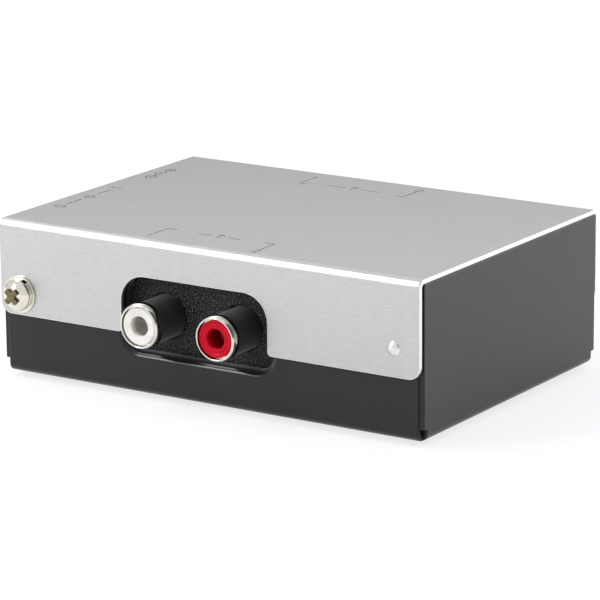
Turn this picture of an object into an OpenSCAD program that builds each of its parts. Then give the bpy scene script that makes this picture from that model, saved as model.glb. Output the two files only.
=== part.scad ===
// Small phono preamp: a folded steel tray under a folded aluminium cover, with a pair of
// phono jacks in each end wall, a ground terminal, a slide switch and a DC inlet.
// Millimetres. The origin is the middle of the whole part's footprint, on the surface it rests on.
// The input end faces -Y, the output end faces +Y, the switch side faces -X, +Z is up.

/* [Case] */
// Width over the tray's side walls
case_w = 90.5; // [88:0.5:110]
// Depth over the cover's front and back skirts
case_d = 63.5; // [62:0.5:80]
// Height of the case without its feet
case_h = 29; // [28:0.5:36]

/* [Cover] */
// How far the cover's cut sides stop short of the tray's side walls, each side
cover_inset = 0.15; // [0:0.05:1]
// Thickness of the cover's sheet
cover_t = 0.8; // [0.5:0.1:1.2]
// Outer radius of the cover's bends
cover_bend_r = 1.4; // [1.3:0.1:3]
// Height of the skirts' lower edge above the underside of the case
skirt_low = 11.3; // [9:0.1:13]
// Radius of the skirts' lower outer corners
skirt_corner_r = 2.4; // [0.5:0.1:4]
// Gap between a skirt and the end wall behind it
skirt_gap = 0.05; // [0.02:0.01:0.3]

/* [Tray] */
// Thickness of the tray's sheet
tray_t = 1; // [0.6:0.1:1.2]
// Outer radius of the tray's bends
tray_bend_r = 1.4; // [1.3:0.1:3]
// How far the side walls' ends lie behind the end walls' faces
side_setback = 0.4; // [0.1:0.05:1]
// Gap at the corners between an end wall and a side wall
corner_gap = 0.06; // [0.02:0.01:0.3]
// Gap between the top of the end walls and the cover
wall_top_gap = 0.4; // [0.4:0.05:1]
// Gap between the top of the side walls and the cover
side_top_gap = 0.05; // [0.05:0.01:0.2]
// Height of the bend relief at each corner above the underside
relief_top = 2.3; // [1.8:0.1:4]
// Height at which the bend relief starts
relief_low = 0.9; // [0.5:0.1:1.2]
// Length of the bend relief along the side wall
relief_len = 1.1; // [0.5:0.1:2]
// Radius of the end walls' lower outer corners
wall_corner_r = 1.2; // [0.4:0.1:1.4]

/* [Jack openings] */
// Middle of both openings and both pairs of jacks across the case
opening_x = -2; // [-6:0.5:6]
// Width of the notch in each skirt
opening_w = 31.5; // [29:0.5:36]
// Height of the notch's top edge above the underside of the case
opening_top = 22.1; // [20:0.1:24]
// Radius of the notch's upper corners
opening_r = 5; // [1:0.5:6]
// Radius where the notch meets the skirt's lower edge
notch_foot_r = 0.8; // [0.2:0.1:1.5]
// How much wider the tray's cut-out is than the notch, each side
cutout_margin = 0.25; // [0.1:0.05:1]
// Height of the cut-out's lower lip above the underside of the case
lip_h = 7.85; // [6.85:0.05:8.4]
// Radius of the cut-out's lower corners
lip_corner_r = 3.5; // [1:0.5:5]
// How far the cut-out's rounded rim stays inside the sheet's faces
rim_step = 0.02; // [0.01:0.01:0.1]

/* [Phono jacks] */
// Distance between the two jacks of a pair
jack_pitch = 16.4; // [14:0.2:18]
// Height of the jacks' axes above the underside of the case
jack_h = 14.5; // [14:0.1:15.5]
// How far the jacks stand out of the skirts
jack_reach = 5.4; // [3:0.1:8]
// Diameter of the plated contact ring
ring_d = 8.4; // [8.2:0.1:8.6]
// Length of ring that shows
ring_len = 1.5; // [1:0.1:4]
// Wall of the ring's collar
ring_wall = 0.75; // [0.7:0.05:0.9]
// Radius of the ring's rolled lip
ring_lip_r = 0.35; // [0.1:0.05:0.35]
// Thickness of the ring's sleeve inside the barrel
sleeve_t = 0.2; // [0.15:0.05:0.25]
// How far the barrel's surface lies under the ring's
barrel_step = 0.2; // [0.16:0.02:0.26]
// Diameter of the centre hole for the plug's pin
pin_hole_d = 3.6; // [3.4:0.1:3.8]
// How far the contact's bore lies inside the centre hole's wall, so that it grips the pin
contact_step = 0.2; // [0.16:0.02:0.26]
// Bevel at the mouth of the centre hole and round the insert
insert_bevel = 0.3; // [0.1:0.05:0.4]
// How far the insert's face lies inside the ring
insert_recess = 0.25; // [0:0.05:0.6]
// Straight length of the centre hole before the contact
pin_hole_len = 6; // [4:0.5:7]
// Wall of the centre contact's tube
contact_wall = 0.5; // [0.3:0.05:0.6]
// Radius of the centre contact's tail
tail_r = 0.4; // [0.2:0.05:0.6]
// How far the grained plate lies behind the skirt's face
plate_setback = 3.5; // [2.5:0.1:5]
// Thickness of the grained plate
plate_t = 1.5; // [1:0.1:2]
// How far the grained plate reaches past the opening, each side
plate_margin = 2; // [1:0.5:4]
// Gap round each barrel in the plate's holes
barrel_gap = 0.45; // [0.2:0.05:0.8]
// Depth of the jack housing behind the plate
housing_d = 9; // [7:0.5:10]
// Width of the jack housing past each jack's axis
housing_side = 6.8; // [5:0.1:8]
// Height of the jack housing above the jacks' axes
housing_top = 6.5; // [5:0.5:9]

/* [Ground terminal] */
// Distance of the terminal screw from the case's side
terminal_inset = 4.6; // [4.6:0.1:8]
// Height of the terminal screw above the underside of the case
terminal_h = 15.3; // [15:0.1:17.5]
// Thread diameter of the terminal screw
thread_d = 3; // [2.6:0.1:3.5]
// Diameter of the terminal screw's pan head
head_d = 5.9; // [5.4:0.1:6.6]
// Height of the pan head
head_h = 1.5; // [1.3:0.1:2.4]
// Length of the screw under its head
screw_len = 9; // [8:0.5:12]
// Diameter of the flat washer
washer_d = 7; // [6.8:0.1:8]
// Thickness of the flat washer
washer_t = 0.4; // [0.3:0.1:0.8]
// Diameter of the spring washer
spring_washer_d = 6.2; // [5.6:0.1:6.6]
// Thickness of the spring washer
spring_washer_t = 0.5; // [0.4:0.1:1]
// Gap between the washers and the thread
washer_gap = 0.1; // [0.05:0.01:0.3]
// Width across the flats of the clinch nut
nut_af = 5.5; // [5:0.1:6]
// Thickness of the clinch nut
nut_t = 2.6; // [2:0.1:4]

/* [Cover fixings] */
// Distance of the fixings from the case's sides
fixing_inset = 5.5; // [5:0.1:8]
// Height of the fixings above the underside of the case
fixing_h = 16.4; // [15:0.1:17.5]
// Diameter of the rivet's dome
rivet_d = 2.7; // [2:0.1:3.5]
// Height of the rivet's dome
rivet_h = 0.6; // [0.3:0.05:0.8]
// Diameter of the rivet's shank
rivet_shank_d = 1.6; // [1:0.1:1.8]
// Thread diameter of the cover screws
cover_thread_d = 2.6; // [2:0.1:3]
// Diameter of the cover screws' heads
cover_head_d = 4.7; // [4.2:0.1:5.2]
// Height of the cover screws' heads
cover_head_h = 1.5; // [1.2:0.1:2]
// Length of the cover screws under the head
cover_screw_len = 5; // [4.5:0.5:8]

/* [Circuit board] */
// Thickness of the board
board_t = 1.6; // [1:0.2:2]
// Height of the posts under the board
post_h = 4; // [3:0.5:4.5]
// Width across the flats of a post
post_af = 5; // [4.5:0.1:6]
// Diameter of a post's shank in the tray's floor
post_shank_d = 4; // [3.6:0.1:4.2]
// Distance of the posts from the board's sides
post_inset_x = 6; // [5:0.5:7]
// Distance of the posts from the board's ends
post_inset_y = 3.8; // [3.6:0.1:4.2]
// Gap between the board and the tray's side walls
board_gap_x = 0.3; // [0.1:0.1:1]
// Gap between the board and the grained plates
board_gap_y = 0.15; // [0.1:0.05:0.5]
// Diameter of the board screws' thread
board_thread_d = 2.5; // [2:0.1:3]
// Diameter of the board screws' heads
board_head_d = 5; // [4.4:0.1:5.2]
// Height of the board screws' heads
board_head_h = 1.8; // [1.2:0.1:2]
// Length of the board screws under the head
board_screw_len = 4.5; // [3.5:0.5:5]

/* [Power switch] */
// Middle of the switch along the side wall
switch_y = -9; // [-11:0.5:-7]
// Travel of the switch's knob
switch_travel = 2; // [1.5:0.1:2.5]
// Length of the switch's shell along the wall
switch_l = 9.6; // [9.2:0.2:11]
// Depth of the switch's shell behind the wall
switch_d = 4.6; // [4.2:0.1:6]
// Height of the switch's shell
switch_h = 5.4; // [5:0.1:7]
// Wall of the switch's shell
switch_wall = 0.6; // [0.4:0.1:0.8]
// Length of the carriage inside the shell
carriage_l = 5.6; // [5.2:0.1:6]
// Length of the knob
knob_l = 3; // [2.4:0.1:3.4]
// Height of the knob
knob_h = 2; // [1.6:0.1:2.4]
// How far the knob stands out of the side wall
knob_reach = 1.4; // [0.6:0.1:2.5]
// Running gap round the carriage and the knob
switch_gap = 0.15; // [0.1:0.01:0.25]
// Gap round the knob in the side wall's slot at the ends of its travel
slot_gap = 0.5; // [0.3:0.1:0.8]

/* [DC inlet] */
// Distance of the inlet's middle from the case's output end
inlet_inset = 17.25; // [16.25:0.25:18.25]
// Height of the inlet's axis above the board
inlet_h = 6.5; // [6:0.1:8]
// Length of the inlet's body behind the wall
inlet_l = 14; // [12:0.5:15]
// Width of the inlet's body
inlet_w = 9; // [8.6:0.1:10]
// Height of the inlet's body above its axis
inlet_top = 4.5; // [4.2:0.1:6]
// Diameter of the inlet's nose in the side wall
nose_d = 8; // [7.6:0.1:8.4]
// Diameter of the inlet's cavity
cavity_d = 6.2; // [5.8:0.1:6.6]
// Depth of the inlet's cavity behind its mouth
cavity_l = 9.5; // [9:0.5:11]
// Diameter of the inlet's centre pin
inlet_pin_d = 2.1; // [1.9:0.1:2.5]
// How far the pin's tip lies behind the mouth
pin_recess = 0.8; // [0.3:0.1:2]
// Gap between the nose and its hole in the side wall
nose_gap = 0.15; // [0.05:0.05:0.4]

/* [Board parts] */
// Diameter of the electrolytic capacitors
can_d = 6.3; // [5:0.1:8]
// Height of the electrolytic capacitors
can_h = 11; // [8:0.5:12]
// Length of the film capacitors
film_l = 7.2; // [6:0.2:8]
// Thickness of the film capacitors
film_t = 3.5; // [2.5:0.1:4]
// Height of the film capacitors
film_h = 8; // [6:0.5:10]
// Distance between the two op-amps
chip_pitch = 16; // [14:0.5:17]
// Length of an op-amp's body
chip_l = 9.8; // [9:0.1:11]
// Width of an op-amp's body
chip_w = 6.4; // [6:0.1:7]
// Thickness of an op-amp's body
chip_t = 3.3; // [2.5:0.1:4]
// Diameter of a resistor's body
resistor_d = 1.8; // [1.4:0.1:2.2]
// Length of a resistor's body
resistor_l = 3.6; // [3:0.1:4.4]
// Diameter of the parts' wire legs
lead_d = 0.5; // [0.4:0.05:0.7]

/* [Feet] */
// Thickness of the rubber feet
foot_h = 1; // [0.6:0.1:2]
// Diameter of the rubber feet
foot_d = 8; // [6:0.5:10]
// Distance of the feet from the case's sides
foot_inset_x = 15; // [12:0.5:18]
// Distance of the feet from the case's ends
foot_inset_y = 12; // [11:0.5:14]

/* [Fits] */
// Clearance of a thread in its nut, on the radius
thread_gap = 0.05; // [0.02:0.01:0.1]
// Clearance of a screw or rivet in a sheet, on the radius
hole_gap = 0.15; // [0.1:0.05:0.3]
// Clearance between pieces pushed into each other, on the radius
push_gap = 0.05; // [0.02:0.01:0.1]

/* [Hidden] */
// Facets of a full circle in the preview
$fn = 64;
// A little extra length for cuts, so that no cut ends on a face
cut = 1;

// Heights
z_under = foot_h;
z_floor = z_under + tray_t;
z_top = z_under + case_h;
z_ceiling = z_top - cover_t;
z_skirt = z_under + skirt_low;
z_opening = z_under + opening_top;
z_lip = z_under + lip_h;
z_jack = z_under + jack_h;
z_terminal = z_under + terminal_h;
z_fixing = z_under + fixing_h;
z_board = z_floor + post_h;
z_parts = z_board + board_t;
z_end_wall = z_ceiling - wall_top_gap;
z_side_wall = z_ceiling - side_top_gap;

// Planes of one end, counted outwards from the middle
y_skirt = case_d / 2;
y_wall = y_skirt - cover_t - skirt_gap;
y_wall_in = y_wall - tray_t;
y_plate = y_skirt - plate_setback;
y_housing = y_plate - plate_t;
y_housing_back = y_housing - housing_d;
y_jack = y_skirt + jack_reach;
y_ring_back = y_jack - ring_len;
y_insert = y_jack - insert_recess;
y_insert_back = y_housing - push_gap;
y_side_end = y_wall - side_setback;

// Planes across the case
x_wall = case_w / 2;
x_wall_in = x_wall - tray_t;
x_end_wall = x_wall_in - corner_gap;
x_terminal = x_wall - terminal_inset;
x_fixing = x_wall - fixing_inset;
cover_w = case_w - 2 * cover_inset;
x_board = x_wall_in - board_gap_x;
y_board = y_housing - board_gap_y;
x_post = x_board - post_inset_x;
y_post = y_board - post_inset_y;

// Radii of one jack, from the outside in
ring_r = ring_d / 2;
collar_in_r = ring_r - ring_wall;
sleeve_r = collar_in_r + sleeve_t;
barrel_r = ring_r - barrel_step;
barrel_in_r = sleeve_r + push_gap;
insert_r = collar_in_r - push_gap;
pin_hole_r = pin_hole_d / 2;
contact_in_r = pin_hole_r - contact_step;
contact_r = contact_in_r + contact_wall;
pocket_r = contact_r + push_gap;
y_pocket = y_insert - pin_hole_len;

// Switch and inlet
z_switch = z_parts + switch_h / 2;
knob_rest_y = switch_y - switch_travel / 2;
slot_l = knob_l + switch_travel + 2 * slot_gap;
slot_h = knob_h + 2 * slot_gap;
window_l = knob_l + switch_travel + 2 * switch_gap;
z_inlet = z_parts + inlet_h;
inlet_y = y_skirt - inlet_inset;

// ---- shapes that repeat ----

// Upright panel outline with rounded upper corners, standing on the X axis
module arch(w, h, r) {
    translate([-w / 2, 0]) square([w, h - r]);
    translate([r - w / 2, 0]) square([w - 2 * r, h]);
    for (s = [-1, 1]) translate([s * (w / 2 - r), h - r]) circle(r = r);
}

// Section of a sheet folded down at both sides
module folded_section(w, h, t, r) {
    difference() {
        arch(w, h, r);
        translate([0, -cut]) arch(w - 2 * t, h - t + cut, r - t);
    }
}

// Rectangle with rounded corners, centred
module soft_rect(w, h, r) {
    square([w - 2 * r, h], center = true);
    square([w, h - 2 * r], center = true);
    for (sx = [-1, 1], sy = [-1, 1])
        translate([sx * (w / 2 - r), sy * (h / 2 - r)]) circle(r = r);
}

// Draws a YZ section through the whole width
module across(w) {
    rotate([90, 0, 90]) linear_extrude(w, center = true) children();
}

// Draws an XZ outline through the whole depth
module along(d) {
    rotate([90, 0, 0]) linear_extrude(d, center = true) children();
}

// Draws at the input end, or mirrored at the output end
module at_end(output) {
    if (output) mirror([0, 1, 0]) children();
    else children();
}

// Puts the local Z axis on an outward line through one end, at height z
module end_axis(x, z) {
    translate([x, 0, z]) rotate([90, 0, 0]) children();
}

// The switch's knob stands out of one side only, so the case is moved until the whole part,
// knob and all, is centred on the origin
module placed() {
    translate([knob_reach / 2, 0, 0]) children();
}

// A box from its lowest to its highest corner
module block(low, high) {
    translate(low) cube(high - low);
}

// ---- tray ----

// Middle of the rounded rim that runs round each cut-out, half a sheet outside its edge
rim_w = opening_w + 2 * cutout_margin + tray_t;
rim_top = z_opening + cutout_margin + tray_t / 2;
rim_low = z_lip - tray_t / 2;
rim_top_r = opening_r + tray_t / 2;
rim_low_r = lip_corner_r + tray_t / 2;

// Cut-out of an end wall along the rim's middle: wide corners above, tighter ones at the lip
module cutout_outline() {
    foot_z = rim_low + rim_low_r;
    head_z = rim_top - rim_top_r;
    foot_x = rim_w / 2 - rim_low_r;
    head_x = rim_w / 2 - rim_top_r;
    translate([opening_x, 0]) {
        translate([-rim_w / 2, foot_z]) square([rim_w, head_z - foot_z]);
        translate([-foot_x, rim_low]) square([2 * foot_x, head_z - rim_low]);
        translate([-head_x, foot_z]) square([2 * head_x, rim_top - foot_z]);
        for (s = [-1, 1]) {
            translate([s * foot_x, foot_z]) circle(r = rim_low_r);
            translate([s * head_x, head_z]) circle(r = rim_top_r);
        }
    }
}

// Half-round edge along the cut-out, smooth to the finger and to a plug's skirt
module cutout_rim() {
    r = tray_t / 2 - rim_step;
    straight_low = rim_w / 2 - rim_low_r;
    straight_top = rim_w / 2 - rim_top_r;
    translate([opening_x, tray_t / 2 - y_wall, 0]) {
        translate([-straight_low, 0, rim_low]) rotate([0, 90, 0]) cylinder(h = 2 * straight_low, r = r);
        translate([-straight_top, 0, rim_top]) rotate([0, 90, 0]) cylinder(h = 2 * straight_top, r = r);
        for (s = [-1, 1]) scale([s, 1, 1]) {
            translate([rim_w / 2, 0, rim_low + rim_low_r])
                cylinder(h = rim_top - rim_top_r - rim_low - rim_low_r, r = r);
            translate([straight_low, 0, rim_low + rim_low_r]) rotate([90, 90, 0])
                rotate_extrude(angle = 90) translate([rim_low_r, 0]) circle(r = r);
            translate([straight_top, 0, rim_top - rim_top_r]) rotate([90, 0, 0])
                rotate_extrude(angle = 90) translate([rim_top_r, 0]) circle(r = r);
        }
    }
}

// Floor with two walls, from a section that is folded up
module folded_up(w, h, t, r) {
    translate([0, h]) mirror([0, 1]) folded_section(w, h, t, r);
}

module tray() {
    color("#3a393c") {
        folded_tray();
        for (output = [false, true]) at_end(output) cutout_rim();
    }
}

module folded_tray() {
    difference() {
        union() {
            intersection() {
                across(2 * x_end_wall)
                    translate([0, z_under])
                        folded_up(2 * y_wall, z_end_wall - z_under, tray_t, tray_bend_r);
                along(2 * y_wall + 2 * cut)
                    translate([0, z_top]) mirror([0, 1])
                        arch(2 * x_end_wall, case_h, wall_corner_r);
            }
            along(2 * y_side_end)
                translate([0, z_under])
                    folded_up(case_w, z_side_wall - z_under, tray_t, tray_bend_r);
        }
        // The corners between the walls are open, so each wall folds by itself
        for (sx = [-1, 1], sy = [-1, 1]) scale([sx, sy, 1]) {
            block([x_end_wall, y_side_end - relief_len, z_under + relief_low],
                  [x_wall + cut, y_wall + cut, z_under + relief_top]);
            block([x_end_wall, y_wall_in - corner_gap, z_under + relief_top - cut],
                  [x_wall_in, y_wall + cut, z_top]);
        }
        along(2 * y_wall + 2 * cut) cutout_outline();
        terminal_hole();
        fixing_holes(cover_thread_d / 2 + hole_gap);
        // Slot for the switch's knob and hole for the inlet's nose
        translate([-x_wall, switch_y, z_switch]) rotate([90, 0, 90])
            linear_extrude(4 * tray_t, center = true) soft_rect(slot_l, slot_h, slot_gap);
        translate([-x_wall, inlet_y, z_inlet]) rotate([0, 90, 0])
            cylinder(h = 4 * tray_t, r = nose_d / 2 + nose_gap, center = true);
        for (sx = [-1, 1], sy = [-1, 1])
            translate([sx * x_post, sy * y_post, z_under - cut])
                cylinder(h = tray_t + 2 * cut, r = post_shank_d / 2 + push_gap);
    }
}

// Clearance hole of the ground terminal, front left
module terminal_hole() {
    end_axis(-x_terminal, z_terminal)
        translate([0, 0, y_wall_in - cut])
            cylinder(h = cover_t + tray_t + 3 * cut, r = thread_d / 2 + hole_gap);
}

// Rivet hole front right and the two cover screws' holes at the back
module fixing_holes(screw_hole_r) {
    end_axis(x_fixing, z_fixing)
        translate([0, 0, y_wall_in - cut])
            cylinder(h = cover_t + tray_t + 3 * cut, r = rivet_shank_d / 2 + push_gap);
    for (s = [-1, 1]) at_end(true) end_axis(s * x_fixing, z_fixing)
        translate([0, 0, y_wall_in - cut]) cylinder(h = cover_t + tray_t + 3 * cut, r = screw_hole_r);
}

// ---- cover ----

// Outline of both skirts and the top, seen from an end
module skirt_outline() {
    difference() {
        translate([0, z_top + cut]) mirror([0, 1])
            arch(cover_w, z_top + cut - z_skirt, skirt_corner_r);
        notch_outline();
    }
}

module notch_outline() {
    translate([opening_x, z_skirt - cut])
        arch(opening_w, z_opening - z_skirt + cut, opening_r);
    // The notch opens out with a small radius at the skirt's lower edge
    for (s = [-1, 1]) translate([opening_x + s * opening_w / 2, z_skirt]) scale([s, 1])
        difference() {
            translate([-notch_foot_r, -cut]) square([2 * notch_foot_r, cut + notch_foot_r]);
            translate([notch_foot_r, notch_foot_r]) circle(r = notch_foot_r);
            translate([notch_foot_r, -cut]) square([notch_foot_r, 2 * cut + notch_foot_r]);
        }
}

module top_cover() {
    color("#c9c9c9")
    difference() {
        intersection() {
            across(cover_w)
                translate([0, z_skirt])
                    folded_section(case_d, z_top - z_skirt, cover_t, cover_bend_r);
            along(case_d + 2 * cut) skirt_outline();
        }
        terminal_hole();
        fixing_holes(cover_thread_d / 2 + hole_gap);
    }
}

// ---- phono jacks ----

module jack_plate(output) {
    w = opening_w + 2 * plate_margin;
    low = z_lip - plate_margin;
    top = z_opening + plate_margin;
    color("#242324")
    at_end(output) end_axis(opening_x, 0)
        translate([0, 0, y_housing]) linear_extrude(plate_t)
            difference() {
                translate([0, (low + top) / 2]) soft_rect(w, top - low, plate_margin / 2);
                for (k = [-1, 1])
                    translate([k * jack_pitch / 2, z_jack]) circle(r = barrel_r + barrel_gap);
            }
}

module jack_housing(output) {
    side = jack_pitch / 2 + housing_side;
    color("#1d1c1e")
    at_end(output) difference() {
        union() {
            block([opening_x - side, -y_housing, z_parts],
                  [opening_x + side, -y_housing_back, z_jack + housing_top]);
            for (k = [-1, 1]) end_axis(opening_x + k * jack_pitch / 2, z_jack)
                translate([0, 0, y_housing_back + cut])
                    cylinder(h = y_ring_back - y_housing_back - cut, r = barrel_r);
        }
        for (k = [-1, 1]) end_axis(opening_x + k * jack_pitch / 2, z_jack) {
            translate([0, 0, y_insert_back]) cylinder(h = y_jack, r = barrel_in_r);
            translate([0, 0, y_housing_back - cut])
                cylinder(h = y_jack, r = tail_r + push_gap);
        }
    }
}

// Plated ring with a rolled lip, and its sleeve inside the barrel
module jack_ring(output, k) {
    lip = ring_lip_r;
    color("#d8d6d2")
    at_end(output) end_axis(opening_x + k * jack_pitch / 2, z_jack)
        rotate_extrude() {
            translate([collar_in_r, y_ring_back]) square([ring_wall, ring_len - lip]);
            translate([collar_in_r + lip, y_ring_back]) square([ring_wall - 2 * lip, ring_len]);
            translate([collar_in_r + lip, y_jack - lip]) circle(r = lip);
            translate([ring_r - lip, y_jack - lip]) circle(r = lip);
            translate([collar_in_r, y_insert_back]) square([sleeve_t, y_ring_back - y_insert_back]);
        }
}

// Coloured insulator with the bevelled hole for the plug's pin
module jack_insert(output, k, tint) {
    b = insert_bevel;
    color(tint)
    at_end(output) end_axis(opening_x + k * jack_pitch / 2, z_jack)
        rotate_extrude() polygon([
            [pin_hole_r, y_pocket],
            [pin_hole_r, y_insert - b],
            [pin_hole_r + b, y_insert],
            [insert_r - b, y_insert],
            [insert_r, y_insert - b],
            [insert_r, y_insert_back],
            [pocket_r, y_insert_back],
            [pocket_r, y_pocket]
        ]);
}

// Tube contacts behind the pin holes, with tails down the housing's back
module jack_contacts(output) {
    tube_l = y_pocket - push_gap - y_insert_back;
    color("#c9b27a")
    at_end(output) for (k = [-1, 1]) {
        end_axis(opening_x + k * jack_pitch / 2, z_jack) {
            translate([0, 0, y_insert_back]) difference() {
                cylinder(h = tube_l, r = contact_r);
                translate([0, 0, contact_wall]) cylinder(h = tube_l, r = contact_in_r);
            }
            translate([0, 0, y_housing_back - tail_r])
                cylinder(h = y_insert_back - y_housing_back + tail_r + contact_wall / 2, r = tail_r);
        }
        translate([opening_x + k * jack_pitch / 2, 0, 0])
            block([-2 * tail_r, -y_housing_back, z_parts],
                  [2 * tail_r, tail_r - y_housing_back, z_jack + tail_r]);
    }
}

// ---- ground terminal ----

y_head = y_skirt + washer_t + spring_washer_t;

// Pan head: a low dome with a flat crown, and a cross recess that follows its diameter
module pan_head(d, h) {
    edge = 0.75 * h;
    recess_span = 0.62 * d;
    recess_depth = 0.6 * h;
    recess_w = d / 6;
    difference() {
        rotate_extrude() intersection() {
            square([d / 2, h]);
            union() {
                square([d / 2 - edge, h]);
                square([d / 2, h - edge]);
                translate([d / 2 - edge, h - edge]) circle(r = edge);
            }
        }
        for (a = [0, 90]) rotate([0, 0, a])
            translate([0, 0, h]) cube([recess_span, recess_w, 2 * recess_depth], center = true);
    }
}

module ground_screw() {
    color("#d9d5cc")
    end_axis(-x_terminal, z_terminal) {
        translate([0, 0, y_head]) pan_head(head_d, head_h);
        translate([0, 0, y_head - screw_len]) cylinder(h = screw_len + cut / 2, r = thread_d / 2);
    }
}

module ground_spring_washer() {
    color("#cfcbc2")
    end_axis(-x_terminal, z_terminal) translate([0, 0, y_skirt + washer_t])
        linear_extrude(spring_washer_t) difference() {
            circle(d = spring_washer_d);
            circle(r = thread_d / 2 + washer_gap);
            rotate(60) translate([0, -spring_washer_t / 2]) square([washer_d, spring_washer_t]);
        }
}

module ground_flat_washer() {
    color("#d9d7d2")
    end_axis(-x_terminal, z_terminal) translate([0, 0, y_skirt])
        linear_extrude(washer_t) difference() {
            circle(d = washer_d);
            circle(r = thread_d / 2 + washer_gap);
        }
}

// Hexagonal clinch nut on the inner face of an end wall
module clinch_nut(af, t, thread_r) {
    translate([0, 0, y_wall_in - t]) linear_extrude(t) difference() {
        circle(r = af / sqrt(3), $fn = 6);
        circle(r = thread_r + thread_gap, $fn = 64);
    }
}

module ground_nut() {
    color("#b9b7b0")
    end_axis(-x_terminal, z_terminal) clinch_nut(nut_af, nut_t, thread_d / 2);
}

// ---- cover fixings ----

module cover_rivet() {
    r = rivet_d / 2;
    sphere_r = (r * r + rivet_h * rivet_h) / (2 * rivet_h);
    color("#d0d0d0")
    end_axis(x_fixing, z_fixing) {
        translate([0, 0, y_skirt]) intersection() {
            translate([0, 0, rivet_h - sphere_r]) sphere(r = sphere_r);
            cylinder(h = rivet_h + cut, r = r);
        }
        translate([0, 0, y_wall_in - rivet_h])
            cylinder(h = y_skirt - y_wall_in + rivet_h + rivet_h / 4, r = rivet_shank_d / 2);
        translate([0, 0, y_wall_in - rivet_h]) cylinder(h = rivet_h, r = r);
    }
}

module cover_screws() {
    color("#8f8e8a")
    at_end(true) for (s = [-1, 1]) end_axis(s * x_fixing, z_fixing) {
        translate([0, 0, y_skirt]) pan_head(cover_head_d, cover_head_h);
        translate([0, 0, y_skirt - cover_screw_len])
            cylinder(h = cover_screw_len + cut / 4, r = cover_thread_d / 2);
    }
}

module cover_nuts() {
    color("#b9b7b0")
    at_end(true) for (s = [-1, 1]) end_axis(s * x_fixing, z_fixing)
        clinch_nut(nut_af, nut_t, cover_thread_d / 2);
}

// ---- circuit board ----

module at_posts() {
    for (sx = [-1, 1], sy = [-1, 1]) translate([sx * x_post, sy * y_post, 0]) children();
}

module circuit_board() {
    color("#2f5d3a")
    difference() {
        translate([0, 0, z_board]) linear_extrude(board_t) soft_rect(2 * x_board, 2 * y_board, 1);
        at_posts() translate([0, 0, z_board - cut])
            cylinder(h = board_t + 2 * cut, r = board_thread_d / 2 + hole_gap);
    }
}

// Hexagonal posts pressed into the tray's floor, flush underneath
module board_posts() {
    color("#b8a468")
    at_posts() difference() {
        union() {
            translate([0, 0, z_floor]) cylinder(h = post_h, r = post_af / sqrt(3), $fn = 6);
            translate([0, 0, z_under]) cylinder(h = tray_t + post_h / 2, r = post_shank_d / 2);
        }
        translate([0, 0, z_floor - tray_t / 2])
            cylinder(h = post_h + cut + tray_t, r = board_thread_d / 2 + thread_gap);
    }
}

module board_screws() {
    color("#b0aeb0")
    at_posts() {
        translate([0, 0, z_parts]) pan_head(board_head_d, board_head_h);
        translate([0, 0, z_parts - board_screw_len])
            cylinder(h = board_screw_len + cut / 4, r = board_thread_d / 2);
    }
}

// ---- power switch ----

// Places a box by its middle along the wall and its distance behind the wall's inner face
module behind_wall(y, z, depth, l, h) {
    block([-x_wall_in, y - l / 2, z - h / 2], [depth - x_wall_in, y + l / 2, z + h / 2]);
}

module power_switch_shell() {
    inner_l = carriage_l + switch_travel + 2 * switch_gap;
    inner_h = switch_h - 2 * switch_wall;
    color("#a9a8a4")
    difference() {
        behind_wall(switch_y, z_switch, switch_d, switch_l, switch_h);
        translate([switch_wall, 0, 0])
            behind_wall(switch_y, z_switch, switch_d - 2 * switch_wall, inner_l, inner_h);
        translate([-cut, 0, 0])
            behind_wall(switch_y, z_switch, 2 * cut, window_l, knob_h + 2 * switch_gap);
    }
}

// Knob, stem and carriage, at the front end of the travel
module power_switch_slider() {
    carriage_h = switch_h - 2 * switch_wall - 2 * switch_gap;
    carriage_d = switch_d - 2 * switch_wall - 2 * switch_gap;
    color("#1b1b1c") {
        translate([switch_wall + switch_gap, 0, 0])
            behind_wall(knob_rest_y, z_switch, carriage_d, carriage_l, carriage_h);
        block([-x_wall - knob_reach, knob_rest_y - knob_l / 2, z_switch - knob_h / 2],
              [switch_wall + 2 * switch_gap - x_wall_in, knob_rest_y + knob_l / 2, z_switch + knob_h / 2]);
    }
}

module power_switch_pins() {
    pin_x = switch_d - x_wall_in;
    color("#c8c6bf")
    for (i = [-1, 0, 1]) translate([0, switch_y + i * switch_l / 3.5, 0])
        block([pin_x, -lead_d / 2, z_parts], [pin_x + lead_d, lead_d / 2, z_switch]);
}

// ---- DC inlet ----

module dc_inlet_body() {
    color("#202022")
    difference() {
        union() {
            block([-x_wall_in, inlet_y - inlet_w / 2, z_parts],
                  [inlet_l - x_wall_in, inlet_y + inlet_w / 2, z_inlet + inlet_top]);
            translate([-x_wall, inlet_y, z_inlet]) rotate([0, 90, 0])
                cylinder(h = tray_t + cut, r = nose_d / 2);
        }
        translate([-x_wall - cut, inlet_y, z_inlet]) rotate([0, 90, 0])
            cylinder(h = cavity_l + cut, r = cavity_d / 2);
        translate([-x_wall, inlet_y, z_inlet]) rotate([0, 90, 0])
            cylinder(h = inlet_l + tray_t + cut, r = inlet_pin_d / 4 + push_gap);
    }
}

module dc_inlet_pin() {
    r = inlet_pin_d / 2;
    color("#cfcfca")
    translate([-x_wall, inlet_y, z_inlet]) rotate([0, 90, 0]) {
        translate([0, 0, pin_recess + r]) cylinder(h = cavity_l - pin_recess - r, r = r);
        translate([0, 0, pin_recess + r]) sphere(r = r);
        translate([0, 0, cavity_l / 2]) cylinder(h = inlet_l + tray_t - cavity_l / 2, r = r / 2);
    }
}

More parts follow.
